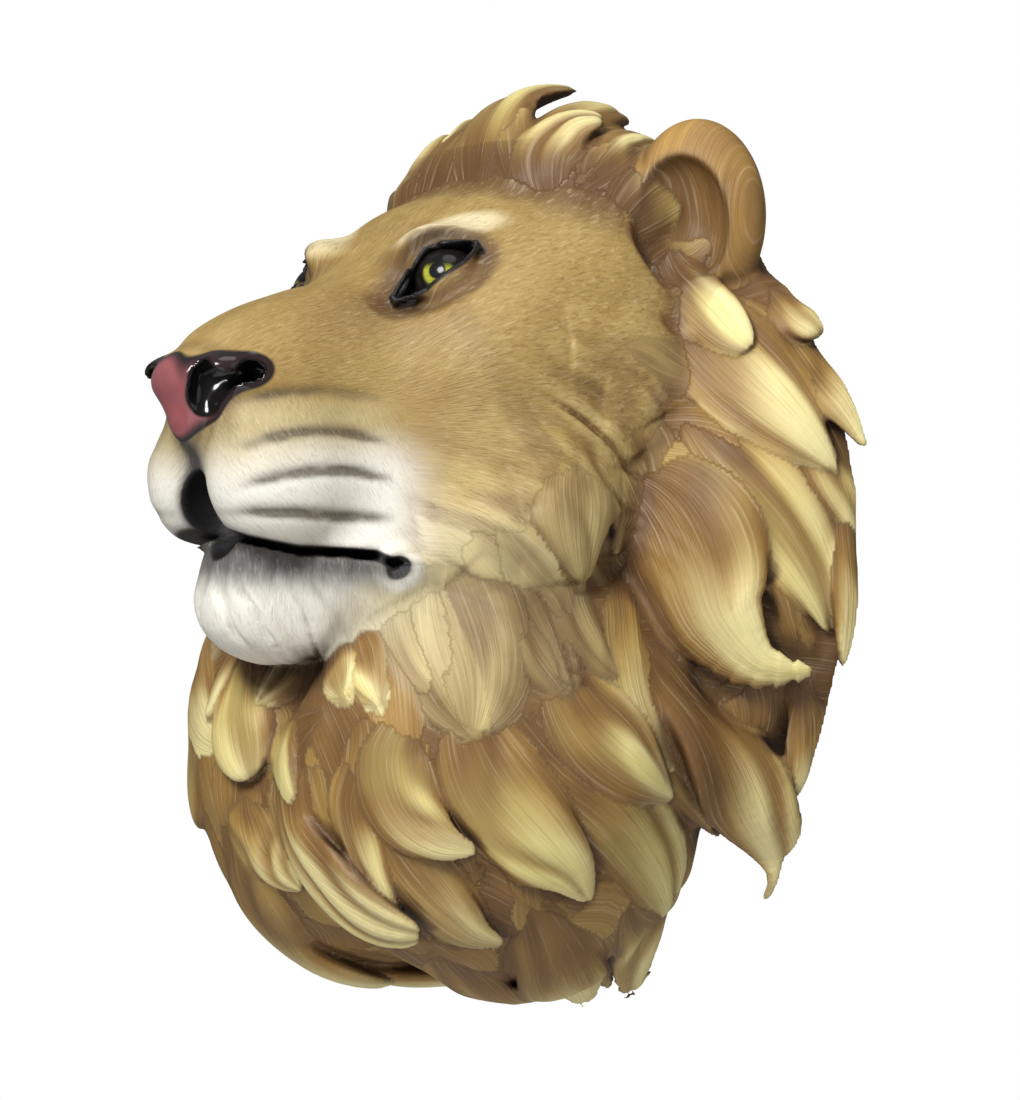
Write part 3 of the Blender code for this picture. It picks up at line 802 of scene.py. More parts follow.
IRIS, IRIS_FIBRE, IRIS_RIM = (0.50, 0.50, 0.05), (0.18, 0.20, 0.025), (0.05, 0.05, 0.012)
PUPIL, LID_SHADE, EYE_BLACK = (0.012, 0.012, 0.013), (0.010, 0.010, 0.010), (0.010, 0.009, 0.008)


def mix(a, b, share):
    return np.asarray(a) * (1 - share[:, None]) + np.asarray(b) * share[:, None]


def survey(grid, p):
    """What each surface point belongs to: the nearest form, how near the next one is, and its combing."""
    count = len(p)
    best, second = np.full(count, FAR, np.float32), np.full(count, FAR, np.float32)
    kind = np.zeros(count, np.int8)
    s, across, up, crease, pale = (np.zeros(count, np.float32) for _ in range(5))
    flow = np.zeros((count, 3), np.float32)
    sides = np.full((2, count), FAR, np.float32)  # nearest of the face and its tufts, and of the mane

    def offer(near, own, what):
        side = sides[0 if what in (OF_FACE, OF_TUFT) else 1]
        side[near] = np.minimum(side[near], own)
        won = own < best[near]
        second[near] = np.where(won, best[near], np.minimum(second[near], own))
        best[near] = np.minimum(best[near], own)
        kind[near[won]] = what
        return won

    near = within(p, FACE.low, FACE.high)
    offer(near, FACE.distance(p[near]), OF_FACE)
    fan = np.arctan2(np.abs(p[:, 0]), p[:, 2] - 40) * 60
    around = fan - 0.6 * smoothstep(75, 0, p[:, 2]) * (p[:, 1] + 100)
    flow[:] = np.stack([around * np.sign(p[:, 0]), -p[:, 1], np.zeros(count)], -1)
    for form in BASE[1:]:
        near = within(p, form.low, form.high)
        won = near[offer(near, form.distance(p[near]), OF_MANE)]
        q = p[won] - np.array(MANE_CENTRE)
        clock = np.arctan2(q[:, 0], q[:, 2])
        polar = np.arctan2(np.hypot(q[:, 0], q[:, 2]), -q[:, 1])
        flow[won] = np.stack([clock * 100, polar * 120, q[:, 0] * 0], -1)
    for form in EARS:
        near = within(p, form.low, form.high)
        own = form.distance(p[near])
        if form.cuts:
            best[near] = np.maximum(best[near], -own)
            at = near[own < 2.5]
        else:
            at = near[offer(near, own, OF_EAR)]
            at = at[own[np.isin(near, at)] < 3]
        kind[at] = OF_EAR
        flow[at] = np.stack([p[at, 0] * 1.0, p[at, 2] * 1.0, at * 0 + 9], -1)
    for lock in LOCKS:
        near = within(p, lock.low, lock.high)
        if not len(near):
            continue
        own, (ls, length, la, lu, half, lc) = lock.distance(p[near])
        won = offer(near, own, OF_TUFT if lock.number >= TUFT_FROM else OF_LOCK)
        at = near[won]
        s[at], across[at], up[at], crease[at], pale[at] = ls[won], la[won], lu[won], lc[won], lock.pale
        flow[at] = np.stack([la[won] * lock.width, length[won], np.full(won.sum(), lock.number * 7.3)], -1)
    normal = grid.outward(p)
    # how enclosed each place is; paint turns it into painted shade in the hollows
    occlusion = sum(w * np.clip(1 - grid.at(p + normal * r) / r, 0, 1) for r, w in OCCLUSION_REACH)
    found = dict(kind=kind, gap=second - best, border=sides[1] - sides[0], flow=flow, occlusion=occlusion)
    return dict(found, s=s, across=across, up=up, crease=crease, pale=pale)


def muzzle_fur(p, kind):
    """Places along and across the fur of muzzle and chin, and how far it takes over from the head's."""
    m = mirrored(p)
    x, out, z = m[:, 0], -m[:, 1], m[:, 2]
    around = np.arctan2(x, np.maximum(out - CHIN_MIDDLE, 5)) * CHIN_SPREAD
    lean = np.where(mouth_place(m)[0] > 0, 0.55, 0.1)
    flow = np.stack([around + z * lean, around * lean - z, z * 0 + 30], -1)
    share = smoothstep(140, 158, out) * smoothstep(72, 58, z - 0.2 * (out - 190))
    return flow, share * (kind == OF_FACE)


def paint_face(p):
    """The face's colours, and how far each place is from the edges of nostril, leather, eye and lips."""
    m = mirrored(p)
    x, out, z = m[:, 0], -m[:, 1], m[:, 2]
    ex, ey, ez = eye_place(m)
    mottle = noise(x / 11 + 3, (out + z) / 13, 31) - 0.5
    colour = mix(TAN, LIGHT_TAN, np.clip(0.35 + 0.9 * mottle, 0, 1))
    # painted shade down the sides of the nose, at the temples and under the brows
    colour = mix(colour, SHADE_TAN, 0.45 * bump(z, 96, 13) * bump(out, 165, 28) * smoothstep(14, 26, x))
    colour = mix(colour, SHADE_TAN, 0.5 * smoothstep(70, 30, out) * smoothstep(60, 110, z))
    colour = mix(colour, SHADE_TAN, 0.75 * bump(ex, -15, 6) * bump(ey, 19, 8) * (ez > -16))
    colour = mix(colour, SHADE_TAN, 0.4 * bump(ex, -30, 10) * bump(ey, 2, 7) * (ez > -16))
    # pale over and under the eye
    over = ((ex - 15) / 23) ** 2 + ((ey - 18 + 0.3 * (ex - 14)) / 9.5) ** 2
    colour = mix(colour, CREAM, 0.95 * smoothstep(1.5, 0.3, over) * (ez > -26))
    bag = ((ex - 2) / 24) ** 2 + ((ey + 11) / 5) ** 2
    colour = mix(colour, LIGHT_TAN, 0.8 * smoothstep(1.4, 0.3, bag) * (ez > -16))
    # white muzzle and chin
    low = smoothstep(54, 28, z + 6 * mottle + 0.25 * np.maximum(out - 200, 0))
    under = smoothstep(4, -16, z)
    muzzle = low * smoothstep(0, 1, (out - 140 - 18 * under) / 28)
    colour = mix(colour, PAD_TOP, 0.75 * smoothstep(66, 54, z) * smoothstep(150, 175, out))
    colour = mix(colour, WHITE_FUR, muzzle)
    jowl = smoothstep(34, -6, z + 14 * mottle) * smoothstep(40, 90, out)
    colour = mix(colour, JOWL, 0.8 * jowl * (1 - muzzle))
    spots = noise(out / 5, z / 3, 17)
    rows = furrows(m, 2.3) * (0.45 + 0.7 * spots) * smoothstep(110, 20, z)
    colour = mix(colour, ROW_BROWN, np.clip(1.5 * rows, 0, 0.85))
    clumps, cheek = cheek_fur(m)
    # painted shade in the partings of the cheek's fur and a painted highlight on the clumps between them
    colour = mix(colour, SHADE_TAN, 0.5 * (1 - smoothstep(0, 0.5, clumps)) * cheek * (1 - muzzle))
    colour = mix(colour, TUFT_END, 0.55 * smoothstep(0.35, 0.9, clumps) * cheek * (1 - muzzle))
    # dark lips fading into the fur, and the cleft under the nose
    lip = mouth_slit(m)
    above = mouth_place(m)[0]
    fade = np.where(above < 0, 11, 2.0)
    dark = np.exp(-np.maximum(lip, 0) / fade * 1.6) * np.where(above < 0, 0.75, 0.9)
    colour = mix(colour, GREY, np.clip(dark, 0, 1))
    cleft = bump(x, 0, 3.8 + 0.2 * np.clip(50 - z, 0, 35)) * smoothstep(54, 44, z) * (out > 195) * (z > 8)
    colour = mix(colour, GREY, np.clip(1.2 * cleft, 0, 1))
    # the hollow between the pads painted dark: their dark skin and painted shade in the hollow
    gap = ellipsoid(m, *LIP_GAP)
    colour = mix(colour, GREY, 0.9 * smoothstep(5, 0, gap))
    corner = ellipsoid(m, *MOUTH_CORNER)
    colour = mix(colour, WHITE_FUR, 0.8 * bump(corner, 3.2, 2.0) * (above < 4))
    edges = np.stack([
        nostril(m) - 1.0,
        smin(ellipsoid(m, *LEATHER), nostril(m) - 3.6, 8),
        np.where(ez > -14, eye_opening(m) - 2.2, 20),
    ], -1)
    lips = np.minimum(lip - 0.2, corner - 0.6)
    # black in the hollow between the pads, as with the lips: dark skin and painted shade
    lips = np.minimum(lips, np.where(z < 36, gap - 0.8, 20))
    return colour, edges, lips


def paint_mane(p, facts):
    """Brown at the roots and pale towards the tip of each lock, with painted shade along its sides and in its
    grooves, and a painted highlight on its crown.
    """
    s, up, across, crease, pale = (facts[k] for k in ("s", "up", "across", "crease", "pale"))
    number = facts["flow"][:, 2]
    tone = (noise(number * 1.7, number * 0 + 0.5, 3) - 0.5) * smoothstep(-0.15, 0.25, pale)
    mottle = noise(p[:, 0] / 17 + p[:, 1] / 23, p[:, 2] / 19, 12) - 0.5
    streak = noise(across * 2.6 + number, s * 1.7 + number, 13) - 0.5
    lock = facts["kind"] == OF_LOCK
    crown = smoothstep(0.1, 0.9, up + 0.5 * streak) * lock
    body = smoothstep(0.06, 0.5, s + 0.3 * streak)
    # browner on each lock's sides than on its crown: painted shade
    golden = np.clip(0.1 + 0.9 * body * (0.4 + 0.6 * crown) + 0.35 * tone + 0.5 * mottle, 0, 1)
    colour = mix(BROWN, OCHRE, 1.08 * golden * np.where(lock, 0.62 + 0.38 * smoothstep(0, 0.3, pale), 0.6))
    late = smoothstep(0.24, 0.68, s + 0.25 * streak)
    ridge = 1 - 0.75 * crease
    # a painted highlight on each lock's crown, weaker in its grooves, and pale paint towards its tip
    light = late * crown * ridge * (0.25 + 1.2 * pale) + smoothstep(0.66, 1.0, s) * (0.2 + 0.6 * pale)
    light = np.clip(light + 0.2 * tone - 0.1, 0, 0.9) * lock * smoothstep(-0.05, 0.15, pale)
    colour = mix(colour, PALE, light)
    yellow = smoothstep(0.5, 0.8, noise(s * 2.0 + number, across * 0.9, 44)) * body * crown
    colour = mix(colour, YELLOW, 0.6 * yellow * (0.2 + pale) * lock)
    high = smoothstep(118, 140, p[:, 2]) * (1 - 0.8 * late * crown)
    colour = mix(colour, ROOT_AND_SHADE_BROWN, 0.55 * high * lock)
    # painted shade in the grooves between the broad bundles
    return mix(colour, BROWN, 0.75 * crease * lock * (1 - 0.3 * late))


def paint(p, facts):
    face_colour, edges, lips = paint_face(p)
    kind, s, occlusion = facts["kind"], facts["s"], facts["occlusion"]
    tuft = kind == OF_TUFT
    bare = kind == OF_FACE
    ends = mix(face_colour, TUFT_END, 0.45 + 0.45 * smoothstep(0.1, 0.8, s))
    # painted shade in each tuft's grooves and along its sides
    ends = mix(ends, SHADE_TAN, 0.6 * facts["crease"] + 0.4 * smoothstep(0.25, 0.95, np.abs(facts["across"])))
    ends = mix(face_colour, ends, 0.35 + 0.65 * smoothstep(0.05, 0.5, s))
    face_colour = np.where(tuft[:, None], ends, face_colour)
    # brown along the hairline, fading into the face and into the mane: dark paint there, and painted shade
    # where the mane meets the face
    border = facts["border"] + 5 * (noise(p[:, 0] / 9 + p[:, 2] / 11, p[:, 1] / 9, 21) - 0.5)
    hairline = smoothstep(90, 125, p[:, 2])
    brown = (0.75 + 0.15 * hairline) * smoothstep(13 + 6 * hairline, 0, border) * (p[:, 1] > -150)
    face_colour = mix(face_colour, ROOT_AND_SHADE_BROWN, brown)
    share = smoothstep(-2.5, 1.5, border)
    share = np.where(tuft | bare, np.maximum(share, 0.4), 0.3 * share)
    colour = mix(paint_mane(p, facts), face_colour, share)
    of_mane = np.isin(kind, (OF_MANE, OF_LOCK))
    # the same brown and painted shade on the mane next to the face, high up
    colour = mix(colour, ROOT_AND_SHADE_BROWN, 0.9 * hairline * smoothstep(-30, -4, border) * of_mane)
    ear = kind == OF_EAR
    streak = noise(p[:, 0] / 3, p[:, 2] / 22, 6)
    colour = np.where(ear[:, None], mix(EAR_BROWN, OCHRE, np.clip(0.1 + 0.8 * streak, 0, 1)), colour)
    cup = ellipsoid(mirrored(p), *EAR_CUP, EAR_TURN)
    colour = mix(colour, ROOT_AND_SHADE_BROWN, ear * smoothstep(5, -1, cup) * (0.55 + 0.45 * streak))
    # painted shade in the hollows from the occlusion, which on the mane also stands for the cast's dark wash:
    # brown, grey on the muzzle's white fur, near black deepest in
    furry = bare * smoothstep(150, 165, -p[:, 1]) * smoothstep(50, 30, p[:, 2])
    shade = mix(ROOT_AND_SHADE_BROWN, GREY, furry)
    colour = mix(colour, shade, (0.8 - 0.45 * furry) * smoothstep(0.08, 0.40, occlusion))
    colour = mix(colour, DEEP_SHADE, 0.9 * smoothstep(0.36, 0.85, occlusion))
    up = mouth_place(mirrored(p))[0]
    lower_lip = smoothstep(-22, -6, p[:, 2]) * smoothstep(3, 0, up) * smoothstep(145, 172, -p[:, 1]) * bare
    colour = mix(colour, GREY, 0.88 * lower_lip)
    # painted shade on a lock where it runs close under another
    shade_between_locks = smoothstep(3.0, 0.0, facts["gap"]) * (kind == OF_LOCK) * (s < 0.85)
    shade_between_locks = shade_between_locks * smoothstep(0.1, 0.45, s) * smoothstep(0.06, 0.2, occlusion)
    colour = mix(colour, ROOT_AND_SHADE_BROWN, 0.6 * shade_between_locks)
    edges = np.where(bare[:, None], edges, 20.0)
    lips = np.where(bare, lips, 20)
    return colour, edges, lips


def largest_body(count, quads):
    """Which quads belong to the largest connected body."""
    label = np.arange(count)
    while True:
        before = label.copy()
        least = label[quads].min(1)
        for i in range(4):
            np.minimum.at(label, quads[:, i], least)
        label = label[label]
        if (label == before).all():
            break
    owner = label[quads[:, 0]]
    return owner == np.bincount(owner).argmax()


# Axis, sense and limit of each side of the frame's box that the carving could pass
BOX_SIDES = (
    (0, 1, CAD_HIGH.x),
    (0, -1, CAD_LOW.x),
    (1, -1, CAD_LOW.y),
    (2, 1, CAD_HIGH.z),
    (2, -1, CAD_LOW.z),
)


def tucked(points):
    """The points with their outermost places drawn in, where they would pass the frame's box."""
    points = points.copy()
    for axis, side, limit in BOX_SIDES:
        places = points[:, axis] * side
        room = abs(limit) / SHARE - INSIDE
        start, reach = room - TUCKED, places.max()
        if reach > room:
            drawn = start + (places - start) * TUCKED / (reach - start)
            points[:, axis] = side * np.where(places > start, drawn, places)
    return points


def flat_normals(points, quads):
    """Area-weighted normals at the points of the whole skin."""
    a, b, c, d = (points[quads[:, i]] for i in range(4))
    face = np.cross(c - a, d - b)
    normal = np.zeros_like(points)
    for i in range(4):
        for axis in range(3):
            normal[:, axis] += np.bincount(quads[:, i], face[:, axis], len(points))
    return normal / np.maximum(np.linalg.norm(normal, axis=1), 1e-9)[:, None]


def add_object(name, mesh, material):
    mesh.materials.append(material)
    piece = bpy.data.objects.new(name, mesh)
    bpy.context.scene.collection.objects.link(piece)
    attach(piece, "root")
    return piece


def add_piece(name, points, faces, material):
    """A mesh object from points in metres and an (n, 4) array of faces."""
    mesh = bpy.data.meshes.new(name)
    mesh.vertices.add(len(points))
    mesh.vertices.foreach_set("co", points.astype(np.float32).ravel())
    mesh.loops.add(faces.size)
    mesh.loops.foreach_set("vertex_index", faces.astype(np.int32).ravel())
    mesh.polygons.add(len(faces))
    mesh.polygons.foreach_set("loop_start", np.arange(0, faces.size, faces.shape[1], dtype=np.int32))
    mesh.update(calc_edges=True)
    mesh.validate()
    return add_object(name, mesh, material)


def store(mesh, name, kind, values):
    layer = mesh.attributes.new(name, kind, "POINT")
    slot = {"FLOAT": "value", "FLOAT_VECTOR": "vector", "FLOAT_COLOR": "color"}[kind]
    layer.data.foreach_set(slot, np.ascontiguousarray(values, np.float32).ravel())


class Tree:
    """Builds a material's nodes in few words."""

    def __init__(self, name):
        self.material = bpy.data.materials.new(name)
        self.material.use_nodes = True
        self.nodes, self.links = self.material.node_tree.nodes, self.material.node_tree.links
        self.shader = self.nodes["Principled BSDF"]

    def put(self, socket, value):
        if isinstance(value, bpy.types.NodeSocket):
            self.links.new(value, socket)
        elif value is not None:
            socket.default_value = value

    def node(self, kind, values=(), **settings):
        made = self.nodes.new(kind)
        for key, value in settings.items():
            setattr(made, key, value)
        for socket, value in zip(made.inputs, values):
            self.put(socket, value)
        return made

    def math(self, operation, *values):
        return self.node("ShaderNodeMath", values, operation=operation).outputs[0]

    def attribute(self, name, output="Vector"):
        return self.node("ShaderNodeAttribute", attribute_name=name).outputs[output]

    def scaled(self, vector, scale):
        return self.node("ShaderNodeVectorMath", (vector, scale), operation="MULTIPLY").outputs[0]

    def noise(self, vector, scale=1.0, detail=2.0, rough=0.5, warp=0.0):
        made = self.node("ShaderNodeTexNoise")
        self.put(made.inputs["Vector"], vector)
        for key, value in (("Scale", scale), ("Detail", detail), ("Roughness", rough), ("Distortion", warp)):
            made.inputs[key].default_value = value
        return made.outputs["Fac"]

    def step(self, value, low, high):
        made = self.node("ShaderNodeMapRange", (value, low, high, 0.0, 1.0), interpolation_type="SMOOTHSTEP")
        return made.outputs[0]

    def between(self, share, a, b):
        made = self.node("ShaderNodeMix", data_type="FLOAT")
        for index, value in ((0, share), (2, a), (3, b)):
            self.put(made.inputs[index], value)
        return made.outputs[0]

    def blend(self, share, a, b):
        made = self.node("ShaderNodeMix", data_type="RGBA")
        self.put(made.inputs[0], share)
        for index, value in ((6, a), (7, b)):
            self.put(made.inputs[index], value if isinstance(value, bpy.types.NodeSocket) else (*value, 1))
        return made.outputs[2]

    def set(self, **values):
        for key, value in values.items():
            self.put(self.shader.inputs[key.replace("_", " ")], value)


def painted_resin():
    t = Tree("painted_resin")
    flow = t.attribute("flow")
    edges = t.node("ShaderNodeSeparateXYZ", (t.attribute("edges"),)).outputs
    nostril_edge, leather_edge, eye_edge = edges[0], edges[1], edges[2]
    lip_edge = t.attribute("lips", "Fac")
    is_face = t.attribute("is_face", "Fac")
    colour = t.attribute("paint", "Color")
    strands = t.noise(t.scaled(flow, (0.95, 0.022, 1.0)), 1.0, 3.0, 0.6, 0.2)
    hairs = t.noise(t.scaled(flow, (1.3, 0.22, 1.0)), 1.0, 3.0, 0.65, 0.6)
    muzzle_hairs = t.noise(t.scaled(t.attribute("muzzle_flow"), (1.25, 0.2, 1.0)), 1.0, 3.0, 0.65, 0.6)
    hairs = t.between(t.attribute("is_muzzle", "Fac"), hairs, muzzle_hairs)
    height = t.between(is_face, strands, hairs)
    # darker in the low places of the fur's relief, as fine fur strokes and painted shade, and paler on its
    # high places as a painted highlight
    dark = t.step(height, 0.50, 0.30)
    fur_dark = t.between(t.attribute("is_muzzle", "Fac"), 0.38, 0.20)
    dark = t.math("MULTIPLY", dark, t.between(is_face, 0.22, fur_dark))
    colour = t.blend(dark, colour, STRAND_DARK)
    light = t.step(height, 0.52, 0.72)
    colour = t.blend(t.math("MULTIPLY", light, 0.16), colour, STRAND_LIGHT)
    leather = t.step(leather_edge, 0.5, -0.7)
    pores = t.noise(t.node("ShaderNodeTexCoord").outputs["Object"], 90.0)
    pink = t.blend(pores, PINK, DEEP_PINK)
    rim = t.step(leather_edge, -4.5, -0.8)
    colour = t.blend(leather, colour, t.blend(rim, pink, LEATHER_RIM))
    black = t.step(nostril_edge, 1.6, 0.3)
    wet = t.math("MAXIMUM", black, leather)
    black = t.math("MAXIMUM", black, t.step(eye_edge, 0.6, -0.5))
    black = t.math("MAXIMUM", black, t.step(lip_edge, 1.3, 0.0))
    colour = t.blend(black, colour, LIP_BLACK)
    t.set(Base_Color=colour)
    t.set(Roughness=t.between(wet, 0.52, 0.14))
    t.set(Specular_IOR_Level=0.35)
    relief = t.node("ShaderNodeBump")
    t.put(relief.inputs["Strength"], t.math("MULTIPLY", t.math("SUBTRACT", 1.0, wet), 0.55))
    relief.inputs["Distance"].default_value = 0.9 * SHARE
    t.put(relief.inputs["Height"], height)
    t.set(Normal=relief.outputs[0])
    return t.material


def bare_resin():
    t = Tree("bare_resin")
    place = t.node("ShaderNodeTexCoord").outputs["Object"]
    cloud = t.noise(place, 38.0, 4.0)
    t.set(Base_Color=t.blend(cloud, RESIN_GREY, PALE_RESIN), Roughness=0.7)
    relief = t.node("ShaderNodeBump")
    relief.inputs["Strength"].default_value = 0.3
    relief.inputs["Distance"].default_value = 0.0006
    t.put(relief.inputs["Height"], t.noise(place, 240.0, 3.0))
    t.set(Normal=relief.outputs[0])
    return t.material


GRID_LOW, GRID_HIGH = (-184, -250, -216), (184, 0, 216)
CREST_FROM, CHEST_BELOW = 95, -105  # heights at which the mane is parted
PIECES = ("face", "crest", "mane_left", "mane_right", "chest")
grid = Grid(GRID_LOW, GRID_HIGH, CELL)
points, every_quad, on_wall = skin_of(grid)
kept = largest_body(len(points), every_quad)
quads, wall_quads = every_quad[kept & ~on_wall], every_quad[kept & on_wall]
facts = survey(grid, points.astype(np.float32))
colour, edges, lips = paint(points.astype(np.float32), facts)
fur, fur_share = muzzle_fur(points.astype(np.float32), facts["kind"])
points = tucked(points)
normals = flat_normals(points, quads)
resin = painted_resin()


def region(points, quads):
    """Which piece each face goes to, so that none is too large."""
    middle = points[quads].mean(1)
    of_face = np.isin(facts["kind"][quads], (OF_FACE, OF_TUFT)).sum(1) >= 2
    part = np.where(middle[:, 0] > 0, PIECES.index("mane_left"), PIECES.index("mane_right"))
    part = np.where(middle[:, 2] < CHEST_BELOW, PIECES.index("chest"), part)
    part = np.where(middle[:, 2] > CREST_FROM, PIECES.index("crest"), part)
    return np.where(of_face & (middle[:, 1] < -20), PIECES.index("face"), part)


def dress(name, chosen):
    used, faces = np.unique(quads[chosen], return_inverse=True)
    piece = add_piece(name, points[used] * SHARE, faces.reshape(-1, 4), resin)
    mesh = piece.data
    store(mesh, "paint", "FLOAT_COLOR", np.column_stack([colour[used], np.ones(len(used))]))
    store(mesh, "flow", "FLOAT_VECTOR", facts["flow"][used])
    store(mesh, "edges", "FLOAT_VECTOR", edges[used])
    store(mesh, "lips", "FLOAT", lips[used])
    store(mesh, "is_face", "FLOAT", (facts["kind"][used] == OF_FACE).astype(np.float32))
    store(mesh, "muzzle_flow", "FLOAT_VECTOR", fur[used])
    store(mesh, "is_muzzle", "FLOAT", fur_share[used])
    mesh.shade_smooth()
    mesh.normals_split_custom_set_from_vertices(normals[used].astype(np.float32))
    print(name, len(faces.reshape(-1, 4)) * 2, "triangles")
    return piece


parts = region(points, quads)
dressed = [dress(name, parts == i) for i, name in enumerate(PIECES)]
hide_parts("lion_head")


# Back: a flat cap with the keyhole for the screw
SCREW_HEAD, SCREW_SHANK, SCREW_PLAY = 0.010, 0.005, 0.001
HANGER_RISE, HANGER_DEPTH, HANGER_LIP, HANGER_PLACE = 0.014, 0.012, 0.003, 0.080
ROUND = 48
ROOM_MIDDLE, ROOM_HALF = (0, 0, HANGER_PLACE + 0.006), (0.012, 1, 0.02)  # what is cut out for the keyhole


def keyhole(neck):
    """Outline of the keyhole: a round entry, and above it a slot with this half width."""
    entry = SCREW_HEAD / 2 + SCREW_PLAY
    start = math.asin(min(neck / entry, 1))
    low = [(start + (2 * math.pi - 2 * start) * i / ROUND) for i in range(ROUND + 1)]
    high = [math.pi / 2 - math.pi * i / (ROUND // 2) for i in range(ROUND // 2 + 1)]
    ring = [(entry * math.sin(a), HANGER_PLACE + entry * math.cos(a)) for a in low]
    ring += [(-neck * math.sin(a), HANGER_PLACE + HANGER_RISE + neck * math.cos(a)) for a in high]
    return ring


def edge_loop(faces):
    """The outline of the hole left in some faces: their single edges, in order."""
    ends = {}
    pairs = set()
    for face in faces.tolist():
        pairs.update(zip(face, face[1:] + face[:1]))
    for a, b in pairs:
        if (b, a) not in pairs:
            ends[a] = b
    start = next(iter(ends))
    loop = [start]
    while ends[loop[-1]] != start:
        loop.append(ends[loop[-1]])
    return loop


def make_back():
    """The skin's flat side on the wall, with the keyhole sunk in it."""
    room_for = (np.abs(points[wall_quads].mean(1) * SHARE - ROOM_MIDDLE) < ROOM_HALF).all(1)
    loop = edge_loop(wall_quads[room_for])
    used, faces = np.unique(wall_quads[~room_for], return_inverse=True)
    verts = [tuple(v) for v in (points[used] * SHARE).tolist()]
    faces = [tuple(face) for face in faces.reshape(-1, 4).tolist()]
    place = {number: i for i, number in enumerate(used.tolist())}

    def fill(loops):
        """Flat faces between loops of numbered points, all at one depth."""
        order = [i for loop in loops for i in loop]
        made = tessellate_polygon([[Vector(verts[i]) for i in loop] for loop in loops])
        faces.extend(tuple(order[i] for i in face) for face in made)

    def ring(outline, y):
        start = len(verts)
        verts.extend((x, y, z) for x, z in outline)
        return list(range(start, len(verts)))

    def wall(near, far):
        for i in range(len(near)):
            j = (i + 1) % len(near)
            faces.append((near[i], near[j], far[j], far[i]))

    mouth, room = keyhole(SCREW_SHANK / 2 + SCREW_PLAY), keyhole(SCREW_HEAD / 2 + SCREW_PLAY - 1e-5)
    mouth_near, mouth_far = ring(mouth, 0.0), ring(mouth, -HANGER_LIP)
    room_near, room_far = ring(room, -HANGER_LIP), ring(room, -HANGER_DEPTH)
    fill([[place[i] for i in loop], mouth_near])
    wall(mouth_near, mouth_far)
    fill([room_near, mouth_far])
    wall(room_near, room_far)
    fill([room_far])
    mesh = bpy.data.meshes.new("back")
    mesh.from_pydata(verts, [], faces)
    mesh.validate()
    return add_object("back", mesh, bare_resin())


make_back()


def eye_paint():
    t = Tree("eye")
    place = t.node("ShaderNodeSeparateXYZ", (t.node("ShaderNodeTexCoord").outputs["Object"],)).outputs
    squares = [t.math("MULTIPLY", place[i], place[i]) for i in (0, 1)]
    radius = t.math("SQRT", t.math("ADD", *squares))
    radius = t.math("DIVIDE", radius, IRIS_RADIUS * SHARE)
    turn = t.math("ARCTAN2", place[1], place[0])
    rays = t.node("ShaderNodeCombineXYZ", (turn, t.math("MULTIPLY", radius, 0.25), 0.0)).outputs[0]
    fibres = t.noise(rays, 7.0, 3.0, 0.7)
    iris = t.blend(fibres, IRIS, IRIS_FIBRE)
    iris = t.blend(t.step(radius, 0.82, 1.0), iris, IRIS_RIM)
    iris = t.blend(t.step(radius, 0.60, 0.46), iris, PUPIL)
    shade = t.step(t.math("DIVIDE", place[1], IRIS_RADIUS * SHARE), 0.0, 0.55)
    iris = t.blend(shade, iris, LID_SHADE)
    iris = t.blend(t.step(radius, 0.97, 1.05), iris, EYE_BLACK)
    t.set(Base_Color=iris, Roughness=0.14, Specular_IOR_Level=0.2)
    return t.material


def make_eye(name, side, material):
    gaze = Vector(EYE_OUT * 14 - EYE_ALONG * 1.5 + EYE_UP * 0.5)
    gaze.x *= side
    centre = Vector(EYE_BALL * (side, 1, 1)) * SHARE
    ball = bmesh.new()
    bmesh.ops.create_uvsphere(ball, u_segments=64, v_segments=32, radius=EYE_RADIUS * SHARE)
    mesh = bpy.data.meshes.new(name)
    ball.to_mesh(mesh)
    ball.free()
    mesh.shade_smooth()
    turn = gaze.to_track_quat("Z", "Y").to_matrix().to_4x4()
    eye = add_object(name, mesh, material)
    eye.matrix_world = Matrix.Translation(centre) @ turn
    return eye


eye_material = eye_paint()
for name, side in (("eye_left", 1), ("eye_right", -1)):
    make_eye(name, side, eye_material)


# Studio: a pale floor far below, soft lights, and the camera at the photograph's angle
AIM = Vector((0, -55 * SHARE, 0))
CAMERA_TURN = 50
CAMERA_AWAY = 1250 * SHARE
CAMERA_LENS = 91.5
FLOOR_HALF, FLOOR_HEIGHT = 1.1, -0.75
WORLD_LIGHT, WORLD_SEEN = 0.15, 1.0
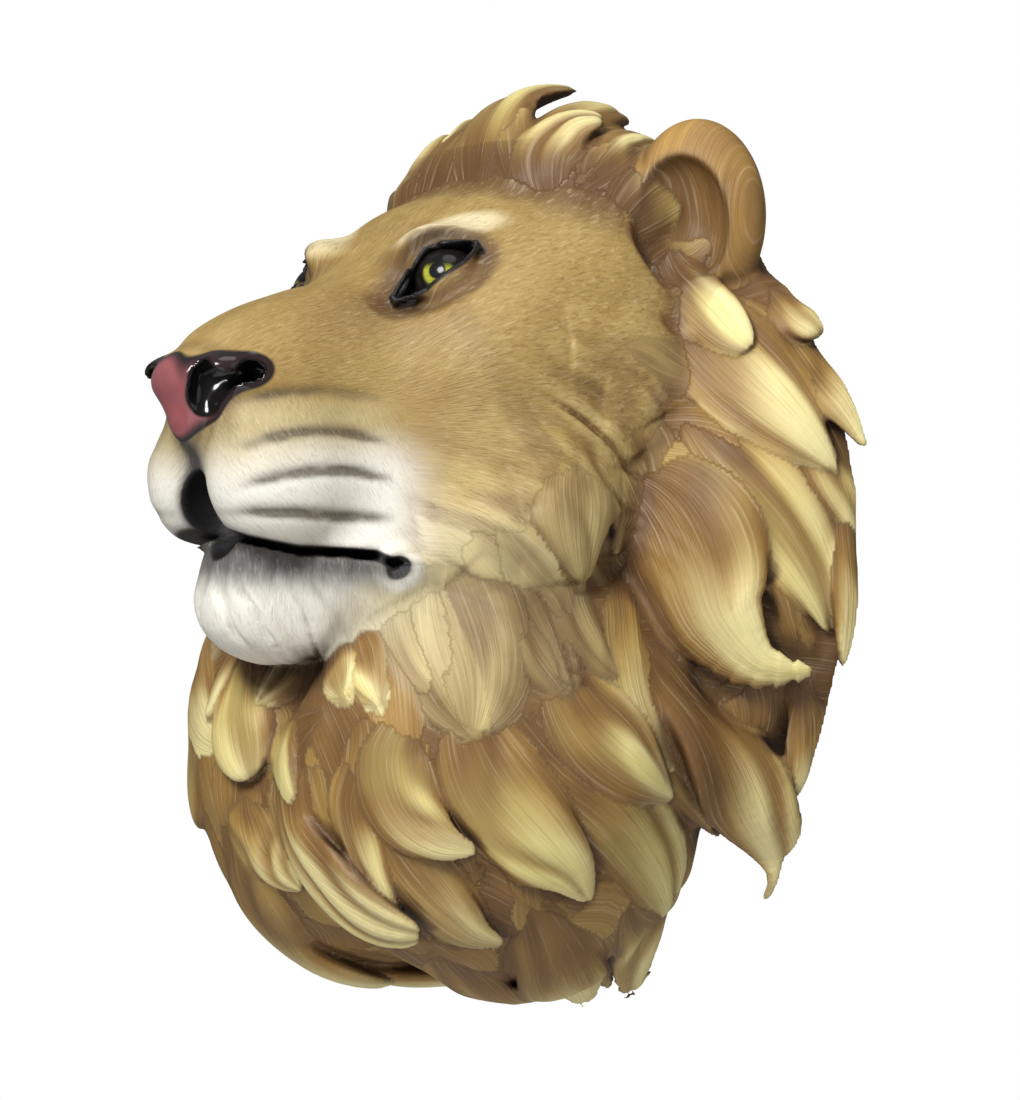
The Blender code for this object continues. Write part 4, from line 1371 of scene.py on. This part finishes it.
# Name, turn and rise in degrees, distance, size and power
LIGHTS = (
    ("key", 24, 34, 1.5, 0.5, 24),
    ("fill", 104, 8, 1.6, 1.2, 3),
    ("top", 60, 75, 1.4, 0.8, 4),
    ("low", 42, -22, 1.5, 1.0, 3.2),
)


def around(turn, rise, away):
    a, e = math.radians(turn), math.radians(rise)
    return AIM + Vector((math.sin(a) * math.cos(e), -math.cos(a) * math.cos(e), math.sin(e))) * away


def aimed(obj, place):
    obj.location = place
    obj.rotation_euler = (AIM - place).to_track_quat("-Z", "Y").to_euler()
    bpy.context.scene.collection.objects.link(obj)


def add_light(name, turn, rise, away, size, power):
    lamp = bpy.data.lights.new(name, "AREA")
    lamp.shape, lamp.size, lamp.energy = "DISK", size, power
    aimed(bpy.data.objects.new(name, lamp), around(turn, rise, away))


def make_studio():
    floor = bpy.data.meshes.new("floor")
    signs = ((-1, -1), (1, -1), (1, 1), (-1, 1))
    floor.from_pydata([(x * FLOOR_HALF, y * FLOOR_HALF, FLOOR_HEIGHT) for x, y in signs], [], [(0, 1, 2, 3)])
    t = Tree("floor")
    t.set(Base_Color=(0.82, 0.81, 0.80, 1), Roughness=0.8)
    floor.materials.append(t.material)
    floor = bpy.data.objects.new("floor", floor)
    bpy.context.scene.collection.objects.link(floor)
    for light in LIGHTS:
        add_light(*light)
    world = bpy.data.worlds.new("studio")
    bpy.context.scene.world = world
    world.use_nodes = True
    nodes, links = world.node_tree.nodes, world.node_tree.links
    back = nodes["Background"]
    strength = nodes.new("ShaderNodeMapRange")
    links.new(nodes.new("ShaderNodeLightPath").outputs["Is Camera Ray"], strength.inputs["Value"])
    strength.inputs["To Min"].default_value = WORLD_LIGHT
    strength.inputs["To Max"].default_value = WORLD_SEEN
    back.inputs["Color"].default_value = (1, 1, 1, 1)
    links.new(strength.outputs[0], back.inputs["Strength"])
    camera = bpy.data.objects.new("camera", bpy.data.cameras.new("camera"))
    camera.data.lens, camera.data.sensor_width = CAMERA_LENS, 36
    aimed(camera, around(CAMERA_TURN, 0, CAMERA_AWAY))
    bpy.context.scene.camera = camera
    bpy.context.scene.view_settings.view_transform = "Standard"


make_studio()
